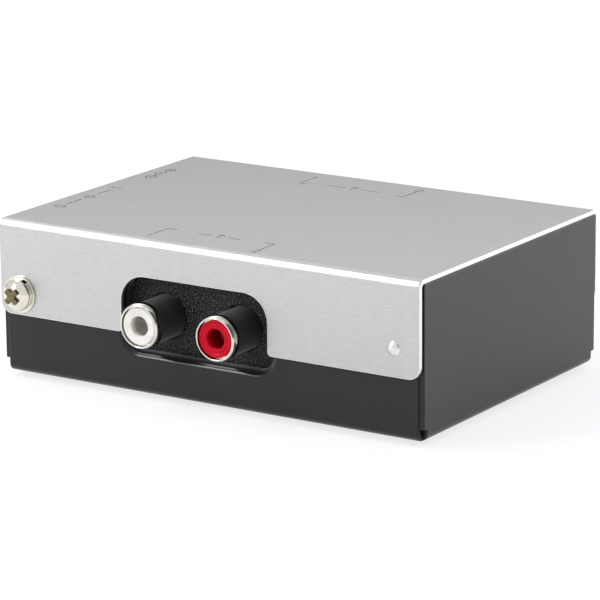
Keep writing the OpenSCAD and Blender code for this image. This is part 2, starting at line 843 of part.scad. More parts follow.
// Solder tags down the back and the side of the inlet
module dc_inlet_tags() {
    back_x = inlet_l - x_wall_in;
    color("#c8c6bf") {
        block([back_x, inlet_y - 1, z_parts], [back_x + lead_d, inlet_y + 1, z_inlet + 1]);
        block([back_x - inlet_l / 2, inlet_y - inlet_w / 2 - lead_d, z_parts],
              [back_x - inlet_l / 2 + 2, inlet_y - inlet_w / 2, z_inlet]);
    }
}

// ---- parts on the board ----

// Distance of a row of parts from the board's middle: a third of the way to the housings
row_y = y_housing_back / 3;

// Amplifier chips with eight legs each
module op_amps() {
    stand = 0.5;
    leg_pitch = 2.54;
    legs = 4;
    color("#26262a")
    for (s = [-1, 1]) translate([opening_x + s * chip_pitch / 2, 0, z_parts]) {
        translate([-chip_l / 2, -chip_w / 2, stand]) cube([chip_l, chip_w, chip_t]);
        for (i = [0:legs - 1], t = [-1, 1])
            translate([(i - (legs - 1) / 2) * leg_pitch, t * (chip_w / 2 + lead_d / 4),
                       (stand + chip_t / 2) / 2])
                cube([lead_d, lead_d / 2, stand + chip_t / 2], center = true);
    }
}

// Cans with the groove near the foot and a shoulder at the top, in two rows of three
module electrolytic_capacitors() {
    groove = 0.25;
    groove_z = can_h / 6;
    gap = 1.7;
    inset = 8;
    can_y = 1.47 * row_y;
    r = can_d / 2;
    color("#2c3a66")
    for (i = [0:2], s = [-1, 1])
        translate([x_board - inset - i * (can_d + gap), s * can_y, z_parts])
            rotate_extrude() {
                square([r, groove_z - groove]);
                translate([0, groove_z + groove]) square([r, can_h - groove_z - 2 * groove]);
                square([r - groove, can_h]);
            }
}

// Dipped film capacitors, standing in a row before each jack housing
module film_capacitors() {
    film_y = 2.1 * row_y;
    gap = 2.4;
    color("#8c2f24")
    for (i = [-1:1], s = [-1, 1])
        translate([opening_x + i * (film_l + gap), s * film_y, z_parts + film_h / 2])
            cube([film_l, film_t, film_h], center = true);
}

// Axial resistors in two rows, each on two bent legs
module resistors() {
    lift = 0.6 * resistor_d;
    bend = 0.8 * resistor_d;
    span = resistor_l + 2 * bend;
    pitch = 1.7 * resistor_d;
    first_x = opening_x - (chip_pitch + chip_l) / 2 - pitch / 2 - bend / 2;
    gap = 1.2 * resistor_d;
    row_mid = -row_y / 2;
    color("#4f7f9e")
    for (i = [0:4], s = [-1, 1])
        translate([first_x - i * pitch, row_mid + s * (span + gap) / 2, z_parts + lift]) {
            rotate([90, 0, 0]) cylinder(h = resistor_l, d = resistor_d, center = true);
            rotate([90, 0, 0]) cylinder(h = span, d = lead_d, center = true);
            for (e = [-1, 1]) translate([0, e * span / 2, -lift])
                cylinder(h = lift + lead_d / 2, d = lead_d);
        }
}

// Three-legged regulator with a flat face, next to the second chip
module voltage_regulator() {
    r = 2.4;
    leg = 3;
    leg_pitch = 1.27;
    body_h = 4.6;
    flat_y = 1.2;
    gap = 0.6;
    color("#222224")
    translate([opening_x + (chip_pitch + chip_l) / 2 + gap + r, 0, z_parts]) {
        translate([0, 0, leg]) linear_extrude(body_h) difference() {
            circle(r = r);
            translate([-2 * r, -flat_y - r]) square([4 * r, r]);
        }
        for (i = [-1, 0, 1]) translate([i * leg_pitch, 0, 0]) cylinder(h = leg + 1, d = lead_d);
    }
}

// Diode behind the DC inlet
module supply_diode() {
    lift = 1.5;
    body_d = 2.4;
    body_l = 4.2;
    span = 7.6;
    gap = 4;
    color("#2a2a2c")
    translate([inlet_l - x_wall_in + gap, inlet_y - body_d, z_parts + lift]) {
        rotate([90, 0, 0]) cylinder(h = body_l, d = body_d, center = true);
        rotate([90, 0, 0]) cylinder(h = span, d = lead_d, center = true);
        for (e = [-1, 1]) translate([0, e * span / 2, -lift])
            cylinder(h = lift + lead_d / 2, d = lead_d);
    }
}

// ---- feet ----

module rubber_feet() {
    edge = foot_h / 3;
    color("#1a1a1a")
    for (sx = [-1, 1], sy = [-1, 1])
        translate([sx * (x_wall - foot_inset_x), sy * (y_skirt - foot_inset_y), 0])
            rotate_extrude() polygon([
                [0, 0], [foot_d / 2 - edge, 0], [foot_d / 2, edge], [foot_d / 2, foot_h], [0, foot_h]
            ]);
}

placed() tray();
placed() top_cover();
placed() jack_plate(false);  // input_jack_plate
placed() jack_plate(true);  // output_jack_plate
placed() jack_housing(false);  // input_jack_housing
placed() jack_housing(true);  // output_jack_housing
placed() jack_ring(false, -1);  // input_left_ring
placed() jack_ring(false, 1);  // input_right_ring
placed() jack_ring(true, -1);  // output_left_ring
placed() jack_ring(true, 1);  // output_right_ring
placed() jack_insert(false, -1, "#eeeeea");  // input_left_insert
placed() jack_insert(false, 1, "#c8142c");  // input_right_insert
placed() jack_insert(true, -1, "#eeeeea");  // output_left_insert
placed() jack_insert(true, 1, "#c8142c");  // output_right_insert
placed() jack_contacts(false);  // input_contacts
placed() jack_contacts(true);  // output_contacts
placed() ground_screw();
placed() ground_spring_washer();
placed() ground_flat_washer();
placed() ground_nut();
placed() cover_rivet();
placed() cover_screws();
placed() cover_nuts();
placed() circuit_board();
placed() board_posts();
placed() board_screws();
placed() power_switch_shell();
placed() power_switch_slider();
placed() power_switch_pins();
placed() dc_inlet_body();
placed() dc_inlet_pin();
placed() dc_inlet_tags();
placed() op_amps();
placed() electrolytic_capacitors();
placed() film_capacitors();
placed() resistors();
placed() voltage_regulator();
placed() supply_diode();
placed() rubber_feet();
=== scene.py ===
# %% [markdown]
# # A small phono preamp in a folded metal case
# The real object is a black steel tray closed by a silver aluminium cover. Two phono jacks
# look out of each end, a ground terminal sits on the front, and a slide switch and a DC
# inlet on the left side. Nearly all of its look comes from how the sheet metal is cut and
# folded, so this lesson builds flat blanks and folds them, as the workshop does.
#
# Each piece is drawn in millimetres and scaled to metres when it is stored. Its place comes
# from the frame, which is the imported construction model.

# %% Load the frame
from math import asin, atan2, ceil, cos, pi, radians, sin, sqrt, tan

import bmesh
import bpy
from mathutils import Matrix, Vector
from mathutils.geometry import tessellate_polygon


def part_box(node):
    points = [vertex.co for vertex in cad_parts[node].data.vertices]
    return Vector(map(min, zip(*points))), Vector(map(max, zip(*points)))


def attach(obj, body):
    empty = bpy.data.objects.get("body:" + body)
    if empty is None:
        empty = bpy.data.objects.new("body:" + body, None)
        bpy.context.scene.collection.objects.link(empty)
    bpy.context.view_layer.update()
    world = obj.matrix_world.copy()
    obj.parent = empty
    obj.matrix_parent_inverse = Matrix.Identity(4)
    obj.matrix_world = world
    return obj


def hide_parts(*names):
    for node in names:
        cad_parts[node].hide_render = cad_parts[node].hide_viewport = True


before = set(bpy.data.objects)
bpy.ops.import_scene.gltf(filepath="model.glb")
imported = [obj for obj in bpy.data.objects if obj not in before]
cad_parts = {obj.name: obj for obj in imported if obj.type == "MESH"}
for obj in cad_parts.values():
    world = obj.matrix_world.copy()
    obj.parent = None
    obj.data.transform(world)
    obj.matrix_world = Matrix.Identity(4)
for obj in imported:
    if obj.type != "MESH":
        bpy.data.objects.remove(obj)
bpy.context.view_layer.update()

# %% [markdown]
# ## Places
# The frame gives the box of every node. The cover and the tray set nearly every place on
# the case, and the jacks set their own. X runs along the ends, Y from the input end to the
# output end, and Z up.

# %% Measure the frame
MM = 0.001


def span(node):
    """Lowest and highest corner of a node of the frame, in millimetres."""
    low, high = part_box(node)
    return Vector(low) / MM, Vector(high) / MM


def centre(node):
    """Middle of a node's box, in millimetres."""
    low, high = span(node)
    return (low + high) / 2


cover_low, cover_high = span("top_cover")
tray_low, tray_high = span("tray")
case_x = (cover_low.x + cover_high.x) / 2
cover_w = cover_high.x - cover_low.x
case_d = cover_high.y - cover_low.y
tray_w = tray_high.x - tray_low.x
top_z = cover_high.z
skirt_z = cover_low.z
under_z = tray_low.z
print(f"cover {cover_w:.1f} x {case_d:.1f} mm, top at {top_z:.1f}, skirts end at {skirt_z:.1f}")

# %% [markdown]
# ## Outlines
# A sheet-metal drawing is made of straight lines joined by arcs. So an outline is a list of
# corners, each with its own radius, and one function turns it into points. The same
# function draws the profiles of turned pieces, whose corners are rounded too.

# %% Draw outlines with rounded corners
ARC_STEP = radians(11)


def rounded(corners, step=ARC_STEP):
    """Points of a closed outline whose corners are (x, y, radius)."""
    points = []
    for i, (x, y, radius) in enumerate(corners):
        corner = Vector((x, y))
        if radius == 0:
            points.append(corner)
            continue
        back = (Vector(corners[i - 1][:2]) - corner).normalized()
        ahead = (Vector(corners[(i + 1) % len(corners)][:2]) - corner).normalized()
        half = back.angle(ahead) / 2
        middle = corner + (back + ahead).normalized() * (radius / sin(half))
        first = corner + back * (radius / tan(half)) - middle
        last = corner + ahead * (radius / tan(half)) - middle
        turn = atan2(first.x * last.y - first.y * last.x, first.dot(last))
        count = max(2, ceil(abs(turn) / step))
        for k in range(count + 1):
            a = turn * k / count
            points.append(middle + Vector((first.x * cos(a) - first.y * sin(a),
                                           first.x * sin(a) + first.y * cos(a))))
    # Arcs that meet end to end share a point, which is kept once
    return [p for i, p in enumerate(points) if (p - points[i - 1]).length > 1e-4]


def circle(x, y, radius, sides=48):
    """Points of a circle."""
    return [Vector((x + radius * cos(2 * pi * k / sides), y + radius * sin(2 * pi * k / sides)))
            for k in range(sides)]


def rectangle(x, y, width, height, radius):
    """Points of a rectangle with rounded corners, by its middle."""
    w = width / 2
    h = height / 2
    return rounded([(x - w, y - h, radius), (x + w, y - h, radius),
                    (x + w, y + h, radius), (x - w, y + h, radius)])


# %% [markdown]
# ## Flat blanks and turned pieces
# A plate is an outline with holes and a thickness. Its edges are never knife-sharp, because
# shearing, tumbling and paint all leave a small round rim, and that rim is what catches a
# thin line of light. So the rim is part of the mesh: each loop is stacked a few times, drawn
# in a little at the two faces. The flat faces are filled with triangles, and extra cuts are
# made across the blank where it will bend. A second material marks the rim.
#
# A turned piece is a profile of radius and height, swept round the axis. One function makes
# the skin between any rings of corners, and the thread, the washer and the ink use it too.

# %% Build plates and turned pieces
SHARPEST_MITRE = 0.35
RIM_STEPS = 3
SIDES = 96
FINE_SIDES = 128


def area(loop):
    """Signed area of a loop: positive if it runs anticlockwise."""
    return sum(loop[i - 1].cross(p) for i, p in enumerate(loop)) / 2


def drawn_in(loop, distance):
    """The loop moved towards its left side, where the plate's material is."""
    moved = []
    for i, here in enumerate(loop):
        before = (here - loop[i - 1]).normalized()
        after = (loop[(i + 1) % len(loop)] - here).normalized()
        normal = Vector((-after.y, after.x))
        mitre = Vector((-before.y - after.y, before.x + after.x)).normalized()
        moved.append(here + mitre * (distance / max(mitre.dot(normal), SHARPEST_MITRE)))
    return moved


def quarter(steps):
    """Angles of a quarter turn, in even steps."""
    return [pi / 2 * k / steps for k in range(steps + 1)]


def round_rim(radius, thick):
    """Levels (inset, w) of an edge that is rounded at both faces."""
    levels = [(radius * (1 - sin(a)), -radius * (1 - cos(a))) for a in quarter(RIM_STEPS)]
    return levels + [(inset, -thick - w) for inset, w in reversed(levels)]


def skin(shape, rings, closed=False, capped=False):
    """Joins rings of corners with faces, back to the first ring if the skin is closed, and
    with a face over each end if it is capped."""
    pairs = list(zip(rings, rings[1:])) + ([(rings[-1], rings[0])] if closed else [])
    faces = []
    for one, other in pairs:
        for i in range(len(one)):
            faces.append(shape.faces.new((one[i - 1], one[i], other[i], other[i - 1])))
    if capped:
        faces += [shape.faces.new(rings[0]), shape.faces.new(rings[-1])]
    return faces


def plate(loops, thick, rims):
    """A flat plate from its outer loop and its holes, each with the radius of its rim or
    its own levels. Its outer face is at w = 0 and its inner face at w = -thick."""
    shape = bmesh.new()
    faces = {"outer": [], "inner": []}
    rim_faces = []
    for number, (loop, rim) in enumerate(zip(loops, rims)):
        if (area(loop) > 0) != (number == 0):
            loop = loop[::-1]
        levels = rim if isinstance(rim, list) else round_rim(rim, thick)
        rings = [[shape.verts.new((p.x, p.y, w)) for p in drawn_in(loop, inset)]
                 for inset, w in levels]
        rim_faces += skin(shape, rings)
        faces["outer"].append(rings[0])
        faces["inner"].append(rings[-1])
    for rings in faces.values():
        corners = [v for ring in rings for v in ring]
        for triangle in tessellate_polygon([[v.co.copy() for v in ring] for ring in rings]):
            shape.faces.new([corners[i] for i in triangle])
    for face in rim_faces:
        face.material_index = 1
    return shape


def cut_across(shape, axis, places):
    """Extra edges across a blank, where it will bend."""
    normal = Vector((1, 0, 0)) if axis == "x" else Vector((0, 1, 0))
    for place in places:
        everything = shape.verts[:] + shape.edges[:] + shape.faces[:]
        bmesh.ops.bisect_plane(shape, geom=everything, plane_co=normal * place, plane_no=normal)


def turned(profile, sides=SIDES):
    """A turned piece from a closed profile of (radius, height), round the Z axis."""
    shape = bmesh.new()
    rings = []
    for radius, height in profile:
        if radius < 1e-5:
            rings.append([shape.verts.new((0, 0, height))] * sides)
            continue
        rings.append([shape.verts.new((radius * cos(2 * pi * k / sides),
                                       radius * sin(2 * pi * k / sides), height))
                      for k in range(sides)])
    for i, ring in enumerate(rings):
        for k in range(sides):
            corners = dict.fromkeys((rings[i - 1][k - 1], rings[i - 1][k], ring[k], ring[k - 1]))
            if len(corners) > 2:
                shape.faces.new(list(corners))
    return shape


# %% [markdown]
# ## Storing a piece
# Storing a piece scales it to metres, names it, makes it ride on its body and, where it
# stands for a node of the frame, hides that node. Blank coordinates are kept as a UV map in
# millimetres, so a brushed grain follows the sheet round its bends. Weighted normals let
# the flat faces stay flat and leave the rounding to the rims.

# %% Store finished pieces
def blank_map(shape):
    """Keeps where each corner lies on the flat blank, in millimetres."""
    layer = shape.loops.layers.uv.new("blank")
    for face in shape.faces:
        for loop in face.loops:
            loop[layer].uv = loop.vert.co.xy


def store(shape, name, body, finishes, place=Matrix(), stands_for=(), crisp=35):
    """Stores a shape in millimetres as a piece in metres that rides on a body."""
    bmesh.ops.recalc_face_normals(shape, faces=shape.faces[:])
    bmesh.ops.scale(shape, vec=(MM, MM, MM), verts=shape.verts)
    mesh = bpy.data.meshes.new(name)
    shape.to_mesh(mesh)
    shape.free()
    for finish in finishes:
        mesh.materials.append(finish)
    mesh.polygons.foreach_set("use_smooth", [True] * len(mesh.polygons))
    mesh.set_sharp_from_angle(angle=radians(crisp))
    piece = bpy.data.objects.new(name, mesh)
    bpy.context.collection.objects.link(piece)
    scaled = place.copy()
    scaled.translation = place.translation * MM
    piece.matrix_world = scaled
    flat_faces = piece.modifiers.new("flat_faces", "WEIGHTED_NORMAL")
    flat_faces.keep_sharp = True
    bpy.context.view_layer.update()
    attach(piece, body)
    if stands_for:
        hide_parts(*stands_for)
    print(f"{name}: {len(mesh.polygons)} faces")
    return piece


def out_of(end, x, y, z):
    """A place whose own Z axis points out of the input end (-1) or the output end (1)."""
    turn = Matrix.Rotation(pi / 2, 4, "X")
    if end > 0:
        turn = Matrix.Rotation(pi, 4, "Z") @ turn
    return Matrix.Translation((x, y, z)) @ turn


# %% [markdown]
# ## Finishes
# Colours are written as sRGB hex values, as a paint chart or a colour picker gives them, and
# one function turns them to the linear light that the renderer works in. One more function
# adds a node with its settings and links. Patterns are sized by the real thing in
# millimetres: a noise of scale s has features of about 1/s metre.
#
# A Mix node carries sockets for every kind of data at once, and several share a name, so
# they are picked by number. The numbers are named here.

# %% Helpers for the finishes
COLOUR_A = 6
COLOUR_B = 7
COLOUR_OUT = 2
VALUE_A = 2
VALUE_B = 3
# Most of a noise's values lie between these two
NOISE_SPAN = (0.3, 0.7)


def linear(code):
    """A hex colour as linear RGBA."""
    parts = [int(code[i:i + 2], 16) / 255 for i in (1, 3, 5)]
    return [p / 12.92 if p <= 0.04045 else ((p + 0.055) / 1.055) ** 2.4 for p in parts] + [1]


def per_metre(size):
    """Texture scale for features of that size in millimetres."""
    return 1 / (size * MM)


def add(tree, kind, inputs=None, **settings):
    """Adds a node. An input is a value, or the output socket that feeds it."""
    node = tree.nodes.new(kind)
    for name, value in settings.items():
        setattr(node, name, value)
    for name, value in (inputs or {}).items():
        if isinstance(value, bpy.types.NodeSocket):
            tree.links.new(value, node.inputs[name])
        else:
            node.inputs[name].default_value = value
    return node


def begin(name, **constants):
    """A new finish with the shader's constants set, such as Metallic=1.0."""
    finish = bpy.data.materials.new(name)
    finish.use_nodes = True
    shader = finish.node_tree.nodes["Principled BSDF"]
    for socket, value in constants.items():
        shader.inputs[socket.replace("_", " ")].default_value = value
    return finish, finish.node_tree, shader


def connect(tree, shader, level, tones, height, depth, rough=None, by=None, between=(0, 1)):
    """Ends a finish. The level, from 0 to 1, picks the colour between two tones. The height
    is depth millimetres deep. The roughness goes from one value to the other while the
    level, or the socket that it goes by instead, goes between two values."""
    colour = add(tree, "ShaderNodeMix", {0: level, COLOUR_A: linear(tones[0]),
                                         COLOUR_B: linear(tones[1])}, data_type="RGBA")
    tree.links.new(colour.outputs[COLOUR_OUT], shader.inputs["Base Color"])
    bump = add(tree, "ShaderNodeBump", {"Height": height, "Strength": 1.0, "Distance": depth * MM})
    tree.links.new(bump.outputs["Normal"], shader.inputs["Normal"])
    if rough:
        spread = add(tree, "ShaderNodeMapRange", {"Value": by or level, "From Min": between[0],
                                                  "From Max": between[1], "To Min": rough[0],
                                                  "To Max": rough[1]})
        tree.links.new(spread.outputs[0], shader.inputs["Roughness"])


# %% [markdown]
# ### Aluminium of the cover
# The cover is aluminium sheet, brushed along its length and then anodised clear. Brushing
# leaves fine scratches, and the anodic film softens them to an even satin, so the eye
# reads smooth tone with a faint streak. Metal keeps the default IOR. The scratches are about
# 0.02 mm apart in the real sheet, too fine to show, so they are drawn 0.35 mm apart.
# Where the sheet was sheared, the cut edge is bare, brighter and crossed by the shear's
# own lines.

# %% Make the aluminium finishes
def brushed_aluminium():
    """Anodised sheet: fine streaks along the blank's X over faint wide clouds."""
    streak_gap = 0.35
    streak_run = 2.2
    scratch_depth = 0.0012
    cloud = 14.0
    cloud_share = 0.16
    darkest = 0.18
    palest = 0.98
    finish, tree, shader = begin("brushed_anodised_aluminium", Metallic=1.0)
    blank = add(tree, "ShaderNodeUVMap", uv_map="blank")
    stretched = add(tree, "ShaderNodeVectorMath", {0: blank.outputs["UV"],
                                                   1: (1 / streak_run, 1 / streak_gap, 0)},
                    operation="MULTIPLY")
    streaks = add(tree, "ShaderNodeTexNoise", {"Vector": stretched.outputs[0], "Scale": 1.0,
                                               "Detail": 3.0, "Roughness": 0.6})
    clouds = add(tree, "ShaderNodeTexNoise", {"Vector": blank.outputs["UV"], "Scale": 1 / cloud,
                                              "Detail": 2.0})
    mixed = add(tree, "ShaderNodeMath", {0: clouds.outputs["Fac"], 1: cloud_share,
                                         2: streaks.outputs["Fac"]}, operation="MULTIPLY_ADD")
    tone = add(tree, "ShaderNodeMapRange", {"Value": mixed.outputs[0], "From Min": darkest,
                                            "From Max": palest})
    connect(tree, shader, tone.outputs[0], ("#b0b0b1", "#c6c6c6"), streaks.outputs["Fac"],
            scratch_depth, rough=(0.33, 0.39), by=streaks.outputs["Fac"], between=NOISE_SPAN)
    return finish


def sheared_aluminium():
    """A bare cut edge, with lines across it."""
    shear_line = 0.15
    line_depth = 0.0004
    finish, tree, shader = begin("sheared_aluminium_edge", Metallic=1.0)
    blank = add(tree, "ShaderNodeUVMap", uv_map="blank")
    lines = add(tree, "ShaderNodeTexNoise", {"Vector": blank.outputs["UV"],
                                             "Scale": 1 / shear_line, "Detail": 2.0})
    connect(tree, shader, lines.outputs["Fac"], ("#e6e5e3", "#f4f3f1"), lines.outputs["Fac"],
            line_depth, rough=(0.4, 0.5), between=NOISE_SPAN)
    return finish


cover_finish = brushed_aluminium()
cover_edge_finish = sheared_aluminium()
print("finishes:", cover_finish.name, cover_edge_finish.name)

# %% [markdown]
# ### Paint of the tray
# The tray is steel with a baked black coating. Coated paint draws away from edges and
# levels with a faint orange peel of about a millimetre, so it gives a soft, slightly wavy
# sheen over a deep black that leans a little to violet. Where it rounds an edge it is pulled
# thin and smooth, so the rims have a glossier twin of the same paint.

# %% Make the paint
def baked_black_paint(name, rough, peel_depth):
    """The tray's paint. Rough is its roughness from the clean places to the dusty ones."""
    peel = 0.9
    dust = 0.45
    finish, tree, shader = begin(name, IOR=1.4, Roughness=0.4, Sheen_Weight=0.55,
                                 Sheen_Roughness=0.4, Specular_Tint=linear("#fdf9ff"),
                                 Sheen_Tint=linear("#fbf5ff"))
    place = add(tree, "ShaderNodeTexCoord")
    waves = add(tree, "ShaderNodeTexNoise", {"Vector": place.outputs["Object"],
                                             "Scale": per_metre(peel), "Detail": 1.0})
    specks = add(tree, "ShaderNodeTexNoise", {"Vector": place.outputs["Object"],
                                              "Scale": per_metre(dust), "Detail": 3.0})
    connect(tree, shader, specks.outputs["Fac"], ("#0b090b", "#141215"), waves.outputs["Fac"],
            peel_depth, rough, between=NOISE_SPAN)
    return finish


paint = baked_black_paint("baked_black_paint", rough=(0.33, 0.49), peel_depth=0.008)
edge_paint = baked_black_paint("baked_black_paint_at_edges", rough=(0.18, 0.21), peel_depth=0.001)
print("finishes:", paint.name, edge_paint.name)

# %% [markdown]
# ### Plastics
# Moulded plastic copies its mould. A spark-eroded mould gives the jack plates their coarse
# grain, a stoned mould gives the housings a low satin, and the inserts come from a polished
# one. All have an IOR near 1.53. One function makes them, from the grain's width and depth.

# %% Make the plastics
def moulded(name, dark, pale, grain, depth, rough, ior=1.53, shine=0.5, haze=0.0,
            crests=(0.35, 0.65)):
    """A moulded plastic or rubber with the grain of its mould. Rough is its roughness from
    the pits to the crests. Its shine is the shader's specular level, 0.5 for a clean surface
    and less for one with a matt skin. Haze is the pale veil at a glancing angle. The crests
    are the part of the grain that turns pale."""
    finish, tree, shader = begin(name, IOR=ior, Specular_IOR_Level=shine, Sheen_Weight=haze,
                                 Sheen_Roughness=0.4)
    place = add(tree, "ShaderNodeTexCoord")
    pits = add(tree, "ShaderNodeTexNoise", {"Vector": place.outputs["Object"],
                                            "Scale": per_metre(grain), "Detail": 2.0,
                                            "Roughness": 0.55})
    level = add(tree, "ShaderNodeMapRange", {"Value": pits.outputs["Fac"],
                                             "From Min": crests[0], "From Max": crests[1]})
    connect(tree, shader, level.outputs[0], (dark, pale), level.outputs[0], depth, rough)
    return finish


# Spark-eroded grain, 0.3 mm across: its bump is real, and the pale colour of its crests is a painted
# highlight, a speck of light on each crest
grained_abs_painted_glints = moulded("grained_black_abs_with_painted_glints", "#030303", "#6e6c6c", grain=0.3, depth=0.06,
                      rough=(0.5, 0.26), shine=0.22, crests=(0.5, 0.74))
# Stoned mould: a plain dark satin
satin_abs = moulded("satin_black_abs", "#171618", "#1c1b1d", grain=0.2, depth=0.003,
                    rough=(0.42, 0.36), haze=0.3)
# Polished mould: a waxy sheen, weaker over the red
white_nylon = moulded("white_nylon", "#dcdad4", "#e9e7e2", grain=1.5, depth=0.004,
                      rough=(0.32, 0.28))
red_nylon = moulded("red_nylon", "#b50a20", "#c20d26", grain=1.5, depth=0.004,
                    rough=(0.26, 0.2), shine=0.08)
# Nylon of the switch and the inlet: nearly black, with a soft sheen
switch_nylon = moulded("black_nylon_of_the_switch", "#161617", "#202021", grain=0.2, depth=0.004,
                       rough=(0.5, 0.4))
inlet_nylon = moulded("black_nylon_of_the_inlet", "#151516", "#1d1d1f", grain=0.25, depth=0.003,
                      rough=(0.42, 0.34))
# Black rubber: blooms to a dull grey that is never glossy
foot_rubber = moulded("foot_rubber", "#1b1b1b", "#2a2a29", grain=0.3, depth=0.01,
                      rough=(0.85, 0.7), ior=1.52)
# Moulded epoxy of the chips: a matt grey-black with fine filler
chip_epoxy = moulded("chip_epoxy", "#1f1f22", "#2b2b2f", grain=0.12, depth=0.006,
                     rough=(0.6, 0.5), ior=1.55)
# Plastic sleeve shrunk over each can: smooth and a little glossy
can_sleeve = moulded("can_sleeve", "#222f5c", "#2c3b6d", grain=2.5, depth=0.01,
                     rough=(0.3, 0.24))
# Dipped coating of the film capacitors: thick, glossy, uneven
dipped_epoxy = moulded("dipped_epoxy", "#7a241b", "#93321f", grain=2.2, depth=0.06,
                       rough=(0.28, 0.18), ior=1.55)
# Baked lacquer of the resistors
resistor_lacquer = moulded("resistor_lacquer", "#3f7396", "#5487a8", grain=1.0, depth=0.02,
                           rough=(0.4, 0.3))
print("plastics made")

# %% [markdown]
# ### Laminate of the board
# The circuit board is woven glass in green epoxy under solder resist. The weave shows as a
# faint checker of about half a millimetre.

# %% Make the laminate
def glass_laminate():
    """Green resist over woven glass."""
    yarn = 0.55
    weave_depth = 0.004
    finish, tree, shader = begin("green_glass_laminate", IOR=1.55, Roughness=0.35)
    place = add(tree, "ShaderNodeTexCoord")
    weave = add(tree, "ShaderNodeTexChecker", {"Vector": place.outputs["Object"],
                                               "Scale": per_metre(2 * yarn)})
    connect(tree, shader, weave.outputs["Fac"], ("#275038", "#2c5a3e"), weave.outputs["Fac"],
            weave_depth)
    return finish


laminate = glass_laminate()
print("finish:", laminate.name)

# %% [markdown]
# ### Plated and bare metals
# Small metal pieces differ by colour and by how they were made. Nickel plate is warm grey
# and mirror-like, zinc plate is a plain grey and duller, and bare aluminium is pale and soft.
# Turning and barrel-polishing leave tiny waves. One function makes them, from the two tones,
# the size of the waves and the roughness, which falls from the dark tone to the pale one.

# %% Make the metals
def metal(name, dark, pale, wave, depth, rough):
    """A metal whose tone and roughness vary a little with the waves of its surface."""
    finish, tree, shader = begin(name, Metallic=1.0)
    place = add(tree, "ShaderNodeTexCoord")
    waves = add(tree, "ShaderNodeTexNoise", {"Vector": place.outputs["Object"],
                                             "Scale": per_metre(wave), "Detail": 3.0})
    level = add(tree, "ShaderNodeMapRange", {"Value": waves.outputs["Fac"],
                                             "From Min": NOISE_SPAN[0],
                                             "From Max": NOISE_SPAN[1]})
    connect(tree, shader, level.outputs[0], (dark, pale), level.outputs[0], depth, rough)
    return finish


nickel = metal("nickel_plate", "#d6d3cd", "#e2dfda", wave=0.8, depth=0.001, rough=(0.07, 0.04))
screw_nickel = metal("nickel_plated_screw", "#d3cfc4", "#dfdbd0", wave=0.5, depth=0.002,
                     rough=(0.12, 0.07))
# Plating in a screw's cross recess: its higher roughness is real, its dark olive colour is painted
# shade of the hollow
recess_plating_painted_shade = metal("dull_plating_with_painted_shade_in_recess", "#5c5138", "#857b5f", wave=0.4, depth=0.02,
                      rough=(0.45, 0.3))
zinc = metal("zinc_plated_steel", "#c9c9c8", "#dadad8", wave=0.4, depth=0.003, rough=(0.3, 0.2))
rivet_aluminium = metal("rivet_aluminium", "#d6d6d6", "#e2e2e1", wave=0.5, depth=0.003,
                        rough=(0.28, 0.2))
brass = metal("contact_brass", "#c9a968", "#d8bb7c", wave=0.6, depth=0.002, rough=(0.3, 0.2))
tin = metal("tinned_pins", "#c6c4be", "#d6d4ce", wave=0.4, depth=0.004, rough=(0.4, 0.28))
switch_shell_steel = metal("switch_shell_steel", "#b2b1ac", "#c4c3be", wave=0.5, depth=0.003,
                           rough=(0.36, 0.26))
print("metals made")

# %% [markdown]
# ## Folding
# A press brake bends sheet round a small radius. The outer face keeps to a circle of that
# radius, and the rest of the sheet stays flat. So a point of the blank is folded by how far
# it lies from the middle: still flat, on the arc, or up the wall. The blank's measure along
# the outer face is kept, so the walls come out at their true height.

# %% Fold a blank
BEND_CUTS = 9


def folded(s, w, flat, radius):
    """Where the blank's point s from the middle lands: how far out, and how far from the
    outer face along the wall. w is its height over the outer face."""
    arc = radius * pi / 2
    along = abs(s)
    if along <= flat:
        out, down = along, -w
    elif along < flat + arc:
        a = (along - flat) / radius
        out, down = flat + (radius + w) * sin(a), radius - (radius + w) * cos(a)
    else:
        out, down = flat + radius + w, radius + along - flat - arc
    return (out if s > 0 else -out), down


def on_wall(down, flat, radius):
    """The blank's measure of a point that is this far down the wall from the outer face."""
    return flat + radius * pi / 2 + down - radius


def bend_lines(flat, radius):
    """Where a blank is cut across for the bends on both of its sides."""
    arc = radius * pi / 2
    one_side = [flat + arc * k / BEND_CUTS for k in range(BEND_CUTS + 1)]
    return one_side + [-place for place in one_side]


# %% [markdown]
# ## Top cover
# One aluminium sheet makes the top and both skirts. Each skirt has a notch over the jacks
# whose upper corners are round, and it opens out with a small radius at the bottom edge. The
# skirts' own lower corners are rounded so that they don't scratch. The holes for the
# terminal, the rivet and the two back screws are punched in the flat blank too.

# %% Cut and fold the cover
COVER_T = 0.8
COVER_BEND = 1.4
COVER_RIM = 0.12
OPENING_W = 31.5
OPENING_TOP_R = 5.0
NOTCH_FOOT_R = 0.8
SKIRT_CORNER_R = 2.4
PLATE_MARGIN = 2.0
HOLE_GAP = 0.15

plate_low, plate_high = span("input_jack_plate")
opening_x = (plate_low.x + plate_high.x) / 2 - case_x
opening_z = plate_high.z - PLATE_MARGIN
screw_at = centre("ground_screw")
rivet_at = centre("cover_rivet")
back_low, back_high = span("cover_screws")
back_head_r = (back_high.z - back_low.z) / 2
back_screw_z = (back_high.z + back_low.z) / 2
back_screws_x = [back_low.x + back_head_r, back_high.x - back_head_r]
THREAD_R = 1.5
BACK_THREAD_R = 1.3
RIVET_SHANK_R = 0.8


